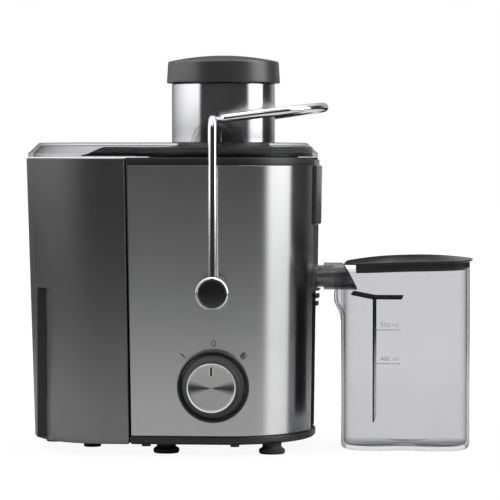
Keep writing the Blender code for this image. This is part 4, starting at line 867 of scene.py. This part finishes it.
def makeShield():
    # plate over the outlet slot, standing proud of it above the step
    step, proud = shield["step"], -shield["proud"]
    profile = [(0, shield["low"]), (0, step), (proud, step + 0.0006), (proud, 0.2268), (proud + 0.0006, 0.2274),
               (0, 0.2276), (0, shield["top"]), (shield["thick"], shield["top"]), (shield["thick"], shield["low"])]
    rows = soften(profile, [0.0005, 0.0004, 0.0006, 0.0006, 0.0004, 0.0003, 0.0006, 0.0004, 0.0004], closed=True)
    reach = math.asin(shield["half"] / body["depth"])
    x, y = endWall(rows[:, 0:1], np.linspace(-reach, reach, 40)[None, :])
    piece = surface("outletShield", leaned(x, y, rows[:, 1:2]) + axis, strip=True)
    dress(piece, smokedPlastic, "smoked_plastic")
    # stepped ribs under the spout, where the shield is stiffened
    for i in range(3):
        z = spoutRibs["top"] - spoutRibs["pitch"] * i
        half = spoutRibs["half"] - spoutRibs["narrower"] * i
        out = body["right"] * scaleAt(z)
        top, foot, slant = z - 0.002 if i == 0 else z, z - spoutRibs["tall"], spoutRibs["slant"]
        rib = [(-half, top), (half, top), (half - slant, foot), (-half + slant, foot)]
        piece = prism(f"spoutRib{i + 1}", rib, out - 0.0012, out + 0.0019 - 0.0005 * i, way="X")
        dress(piece, smokedPlastic, "smoked_plastic")


spout = {"bore": 0.0092, "topEnd": 0.097, "tubeBore": 0.0073, "tubeRadius": 0.0089, "tubeStart": 0.058}


def makeSpout():
    # a tube cut off on the slant: each row is (radius, share of the way to the mouth)
    low, high = corners("spout_nozzle")
    z0, r, bore = (low[2] + high[2]) / 2, (high[2] - low[2]) / 2, spout["bore"]
    start, lowEnd, topEnd = low[0] - axis[0], high[0] - axis[0], spout["topEnd"]
    rows = np.array([(r, 0.0), (r, 0.06), (r, 0.10), (r, 0.97), (r - 0.0005, 1.0), (bore + 0.0004, 1.0), (bore, 0.97),
                     (bore, 0.0)])
    turn = np.linspace(0, 2 * np.pi, 96, endpoint=False)[None, :]
    radius, share = rows[:, 0:1], rows[:, 1:2]
    y, z = radius * np.cos(turn), radius * np.sin(turn)
    end = (topEnd + lowEnd) / 2 + (topEnd - lowEnd) / 2 * (z / r)
    points = np.stack([start + (end - start) * share, y, z + z0], axis=-1) + axis
    dress(surface("spoutNozzle", points, closeRows=True), darkSmoked, "smoked_plastic", "spout_nozzle")
    inner, outer, near, far = spout["tubeBore"], spout["tubeRadius"], spout["tubeStart"], start + 0.006
    profile = soften([(outer, near), (outer, far), (inner, far), (inner, near)], 0.0003, closed=True)
    dress(lathe("outletTube", profile, axis + [0, 0, z0], "X", 64), darkSmoked, "smoked_plastic")


# ---- jug ----

def jugOutline(inset, count=260):
    # squared ellipse, drawn in at the middle of its length for the fingers
    left, right = jug["left"], jug["right"]
    turn = np.linspace(0, 2 * np.pi, count, endpoint=False)[None, :]
    c, s = np.cos(turn), np.sin(turn)
    x = np.sign(c) * np.abs(c) ** (2 / jug["power"])
    y = np.sign(s) * np.abs(s) ** (2 / jug["power"])
    pinch = 1 - jug["waist"] * np.cos(np.pi / 2 * np.minimum(1, np.abs(x) / 0.6)) ** 2
    return (left + right) / 2 + ((right - left) / 2 - inset) * x, (jug["depth"] - inset) * y * pinch


jug = {
    "left": 0.096,
    "right": jugHigh[0] - axis[0],
    "depth": 0.038,
    "power": 3.6,
    "waist": 0.17,
    "wall": 0.0020,
    "rim": 0.1425,
    "slope": 0.0030 / 0.1035,
    "lipHalf": 0.0147,
    "lipOut": 0.0058,
    "lipLow": 0.106,
    "mouth": 0.1262,
}


def rimZ(x):
    return jug["rim"] + jug["slope"] * (x - jug["left"])


def makeJug():
    wall = jug["wall"]
    # inset, height as a share of the rim, and height above that share's level
    outer = [(0.0036, 0, 0), (0.0016, 0, 0.0006), (0.0005, 0, 0.0018), (0, 0, 0.0040)]
    outer += [(0, s, 0.0040 * (1 - s)) for s in np.linspace(0, 1, 44)[1:-1]]
    outer += [(0.0, 1, -0.0006), (0.0005, 1, 0), (wall - 0.0005, 1, 0), (wall, 1, -0.0006)]
    inner = [(wall, s, 0.0030 * (1 - s)) for s in np.linspace(1, 0, 44)[1:-1]]
    inner += [(wall + 0.0008, 0, 0.0044), (wall + 0.0030, 0, 0.0032)]
    rows = np.array(outer + inner)
    inset = rows[:, 0:1]
    x, y = jugOutline(inset)
    lip = smoothStep((jug["lipHalf"] - inset * 0.8 + 0.0008 - np.abs(y)) / 0.0022) * (x < jug["left"] + 0.03)
    mouth = smoothStep((jug["lipHalf"] - wall + 0.0006 - np.abs(y)) / 0.0012) * (x < jug["left"] + 0.03)
    top = rimZ(x) - (rimZ(x) - jug["mouth"]) * mouth
    z = rows[:, 1:2] * top + rows[:, 2:3]
    x = x - jug["lipOut"] * lip * smoothStep((z - jug["lipLow"]) / 0.0135)
    points = np.stack([x, y, z], axis=-1)
    piece = closedFloor("juiceJug", points, "jug")
    dress(piece, jugClear, "jug_plastic", "juice_jug")
    makeJugMarks()


def plateText(name, text, size, place, material, rideOn):
    # plain digits laid flat against the jug's front
    letters = bpy.data.curves.new(name, "FONT")
    letters.body = text
    letters.size = size
    letters.extrude = 0.00006
    letters.align_x = "CENTER"
    letters.align_y = "CENTER"
    holder = bpy.data.objects.new(name + "Drawn", letters)
    bpy.context.scene.collection.objects.link(holder)
    mesh = bpy.data.meshes.new_from_object(holder.evaluated_get(bpy.context.evaluated_depsgraph_get()))
    bpy.data.objects.remove(holder)
    flat = np.empty(len(mesh.vertices) * 3)
    mesh.vertices.foreach_get("co", flat)
    flat = flat.reshape(-1, 3)
    points = np.column_stack([flat[:, 0], -flat[:, 2], flat[:, 1]]) + np.asarray(place) + axis
    mesh.vertices.foreach_set("co", points.ravel())
    piece = bpy.data.objects.new(name, mesh)
    bpy.context.scene.collection.objects.link(piece)
    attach(piece, rideOn)
    dress(piece, material, "jug_plastic")


def frontOfJug(x):
    xs, ys = jugOutline(np.zeros((1, 1)), 2000)
    near = ys[0] < 0
    order = np.argsort(xs[0][near])
    return np.interp(x, xs[0][near][order], ys[0][near][order])


jugMarks = {"x": 0.1360, "levels": {"550": 0.1005, "400": 0.0735}, "tall": 0.0052, "reach": (-0.0115, 0.0085)}


def makeJugMarks():
    ink = mouldedPlastic("paleInk", (0.60, 0.60, 0.60), 0.5)
    x = jugMarks["x"]
    left, right = (x + reach for reach in jugMarks["reach"])
    near = frontOfJug(right)
    for text, z in jugMarks["levels"].items():
        plateText(f"volume{text}", text + " ml", jugMarks["tall"], (x, frontOfJug(x) - 0.00012, z), ink, "jug")
        line = oblong(left, right, z - 0.0042, z - 0.0037)
        dress(prism(f"level{text}", line, near - 0.0001, near + 0.0003, soft=0, rideOn="jug"), ink, "jug_plastic")


def makeLid():
    # inset, height above the jug's sloping rim, and share of the outline's size; the dome is a paraboloid
    wall, over, base, brim = jug["wall"], -0.0023, 0.0003, 0.0068
    rows = soften([(wall + 0.0008, -0.0012, 1), (wall + 0.0004, base, 1), (0.0, base, 1), (0.0, 0.0052, 1),
                   (over, 0.0056, 1), (over, brim, 1), (over + 0.0020, brim + 0.0005, 1)],
                  [0, 0.0003, 0.0006, 0.0006, 0.0006, 0.0005, 0])
    dome = [(over + 0.0020, brim + 0.0005 + 0.0042 * (1 - s * s), s) for s in np.linspace(1, 0.02, 26)[1:]]
    under = [(0.012, 0.0070, 0.02), (0.012, 0.0070, 1), (wall + 0.0026, 0.0050, 1), (wall + 0.0024, -0.0012, 1)]
    rows = np.concatenate([rows, dome, under])
    inset, rise, share = rows[:, 0:1], rows[:, 1:2], rows[:, 2:3]
    x, y = jugOutline(inset)
    isUnder = (np.arange(len(rows)) >= len(rows) - len(under))[:, None]
    isBrim = (rise > 0.0054) & ~isUnder
    leftEnd = np.where(isUnder, 0.1108, np.where(isBrim, 0.0995, 0.1090))
    x = np.maximum(x, leftEnd)
    middle = (jug["left"] + jug["right"]) / 2
    x, y = middle + (x - middle) * share, y * share
    lid = surface("jugLid", np.stack([x, y, rimZ(x) + rise], axis=-1) + axis, closeRows=True, rideOn="lid")
    dress(lid, blackPlastic, "black_plastic", "jug_lid")


def makeDivider():
    low, high = corners("foam_divider")
    x0, t, half = 0.1227, 0.0013, 0.0240
    top, left, right = 0.1217, low[0] - axis[0], high[0] - axis[0]
    bottom = low[2]
    profile = [(x0 - t / 2, bottom), (x0 + t / 2, bottom), (x0 + t / 2, top - t), (right, top - t), (right, top),
               (x0, top), (left, top + 0.0035), (left, top + 0.0035 - t), (x0 - t / 2, top - t)]
    piece = prism("foamDivider", soften(profile, 0.0006, steps=3, closed=True), -half, half, soft=0.0003, rideOn="jug")
    dress(piece, dividerClear, "jug_plastic", "foam_divider")


insideFinishes = (
    (filterSteel, ["filter_mesh"]),
    (sleeveSteel, ["grater_disc"]),
    (laminated, ["motor_stator"]),
    (copper, ["field_coil_upper", "field_coil_lower", "armature", "commutator"]),
    (screwSteel, ["upper_bracket", "lower_bracket"]),
    (blackenedSteel, [f"base_screw_{i + 1}" for i in range(4)]),
    (polishedSteel, ["motor_shaft", "upper_bearing", "lower_bearing"]),
    (carbon, ["carbon_brush_left", "carbon_brush_right"]),
    (blackSatin, ["basket_hub", "basket_ring", "cooling_fan", "drive_coupling", "interlock_switch"]),
    (rubber, ["shaft_seal", "cord_gland"]),
    (palePlastic, ["interlock_rod"]),
)


def paintInside():
    for material, nodes in insideFinishes:
        for node in nodes:
            paint(node, material)


makeSteelWrap()
makeShell()
makeBasePlate()
makeFeet()
print("base ready")
makeBin()
makeCover()
makeSleeve()
makePusher()
print("bin, cover and pusher ready")
makeArm()
makeDial()
makeCollector()
makeJug()
makeLid()
makeDivider()
paintInside()
print("arm, dial, collector and jug ready")


# ---- floor, light and camera ----

studio = {
    "paper": 0.52,
    "nearGlow": 0.93,
    "farGlow": 1.0,
    "glowEdge": (0.3, 1.1),
    "reach": 9.0,
    "tableEdge": (0.45, 1.5),  # the pale table that reflections show, metres from the world's middle
    "dark": 0.035,
    "top": 0.85,
    "topEdges": (0.30, 0.90),
    "left": 1.75,
    "leftEdges": (-180, -66, -53, -46),  # degrees round from the front, towards the right
    "right": 3.6,
    "rightEdges": (58, 74, 101, 104),
    "rear": 0.40,
    "rearEdges": (128, 152),
}


def seenDirectly(tree):
    return Value(tree, tree.nodes.new("ShaderNodeLightPath").outputs["Is Camera Ray"])


def makeFloor():
    # level paper, white to the eye, with only a faint shadow close to the feet
    mesh = bpy.data.meshes.new("studioFloor")
    r = studio["reach"]
    mesh.from_pydata([(-r, -r, 0), (r, -r, 0), (r, r, 0), (-r, r, 0)], [], [(0, 1, 2, 3)])
    floor = bpy.data.objects.new("studioFloor", mesh)
    bpy.context.scene.collection.objects.link(floor)
    made, shader, where = newMaterial("palePaper", (studio["paper"],) * 3, 0.9, Specular_IOR_Level=0.1)
    away = where.node("ShaderNodeVectorMath", {"operation": "LENGTH"}, {0: where}, out=1)
    far = ramp(away, *studio["glowEdge"])
    seen = seenDirectly(made.node_tree)
    table = 1 - ramp(away, *studio["tableEdge"])
    glow = (far * (studio["farGlow"] - studio["nearGlow"]) + studio["nearGlow"]) * seen
    connect(shader, "Base Color", table * (1 - seen) * studio["paper"] + 0.05 * seen)
    connect(shader, "Emission Color", glow)
    shader.inputs["Emission Strength"].default_value = 1.0
    mesh.materials.append(made)


def softbox(name, place, aim, size, power):
    light = bpy.data.lights.new(name, "AREA")
    light.shape = "RECTANGLE"
    light.size, light.size_y = size
    light.energy = power
    lamp = bpy.data.objects.new(name, light)
    lamp.location = place
    way = np.asarray(aim, float) - np.asarray(place, float)
    lamp.rotation_euler = Vector(way).to_track_quat("-Z", "Y").to_euler()
    bpy.context.scene.collection.objects.link(lamp)


def makeSurroundings():
    # soft bands of light at the left, right, rear and top; white wherever the camera looks straight at them
    world = bpy.data.worlds.new("studio")
    bpy.context.scene.world = world
    world.use_nodes = True
    tree = world.node_tree
    x, y, z = Value(tree, tree.nodes.new("ShaderNodeTexCoord").outputs["Generated"]).split()
    around = x.maths("ARCTAN2", y * -1.0) * (180 / math.pi)

    def band(edges):
        a, b, c, d = edges
        return ramp(around, a, b) * (1 - ramp(around, c, d))

    light = studio["top"] * ramp(z, *studio["topEdges"]) + studio["dark"]
    light = light + studio["left"] * band(studio["leftEdges"]) + studio["right"] * band(studio["rightEdges"])
    light = light + studio["rear"] * ramp(around, *studio["rearEdges"])
    seen = seenDirectly(tree)
    strength = seen + light * (1 - seen)
    tree.links.new(strength.socket, tree.nodes["Background"].inputs["Strength"])
    tree.nodes["Background"].inputs["Color"].default_value = (1, 1, 1, 1)


def makeLights():
    makeSurroundings()
    aim = axis + [0, 0, 0.15]
    softbox("frontFill", axis + [-0.4, -2.0, 1.9], aim, (1.6, 0.7), 3)
    softbox("topSoftbox", (0, 0.2, 1.9), aim, (1.6, 1.2), 9)


view = {"turn": 4.75, "tilt": 1.98, "height": 0.236, "far": 2.232, "aside": 0.0215, "lens": 198.0}


def makeCamera():
    turn = math.radians(view["turn"])
    right = np.array([math.cos(turn), math.sin(turn), 0])
    ahead = np.array([-math.sin(turn), math.cos(turn), 0])
    place = axis + right * view["aside"] - ahead * view["far"]
    camera = bpy.data.cameras.new("camera")
    camera.lens = view["lens"]
    camera.sensor_width = 36
    camera.clip_end = 20
    holder = bpy.data.objects.new("camera", camera)
    holder.location = (place[0], place[1], view["height"])
    holder.rotation_euler = (math.radians(90 - view["tilt"]), 0, turn)
    bpy.context.scene.collection.objects.link(holder)
    bpy.context.scene.camera = holder


makeFloor()
makeLights()
makeCamera()
bpy.context.scene.view_settings.view_transform = "Standard"
print("studio ready")
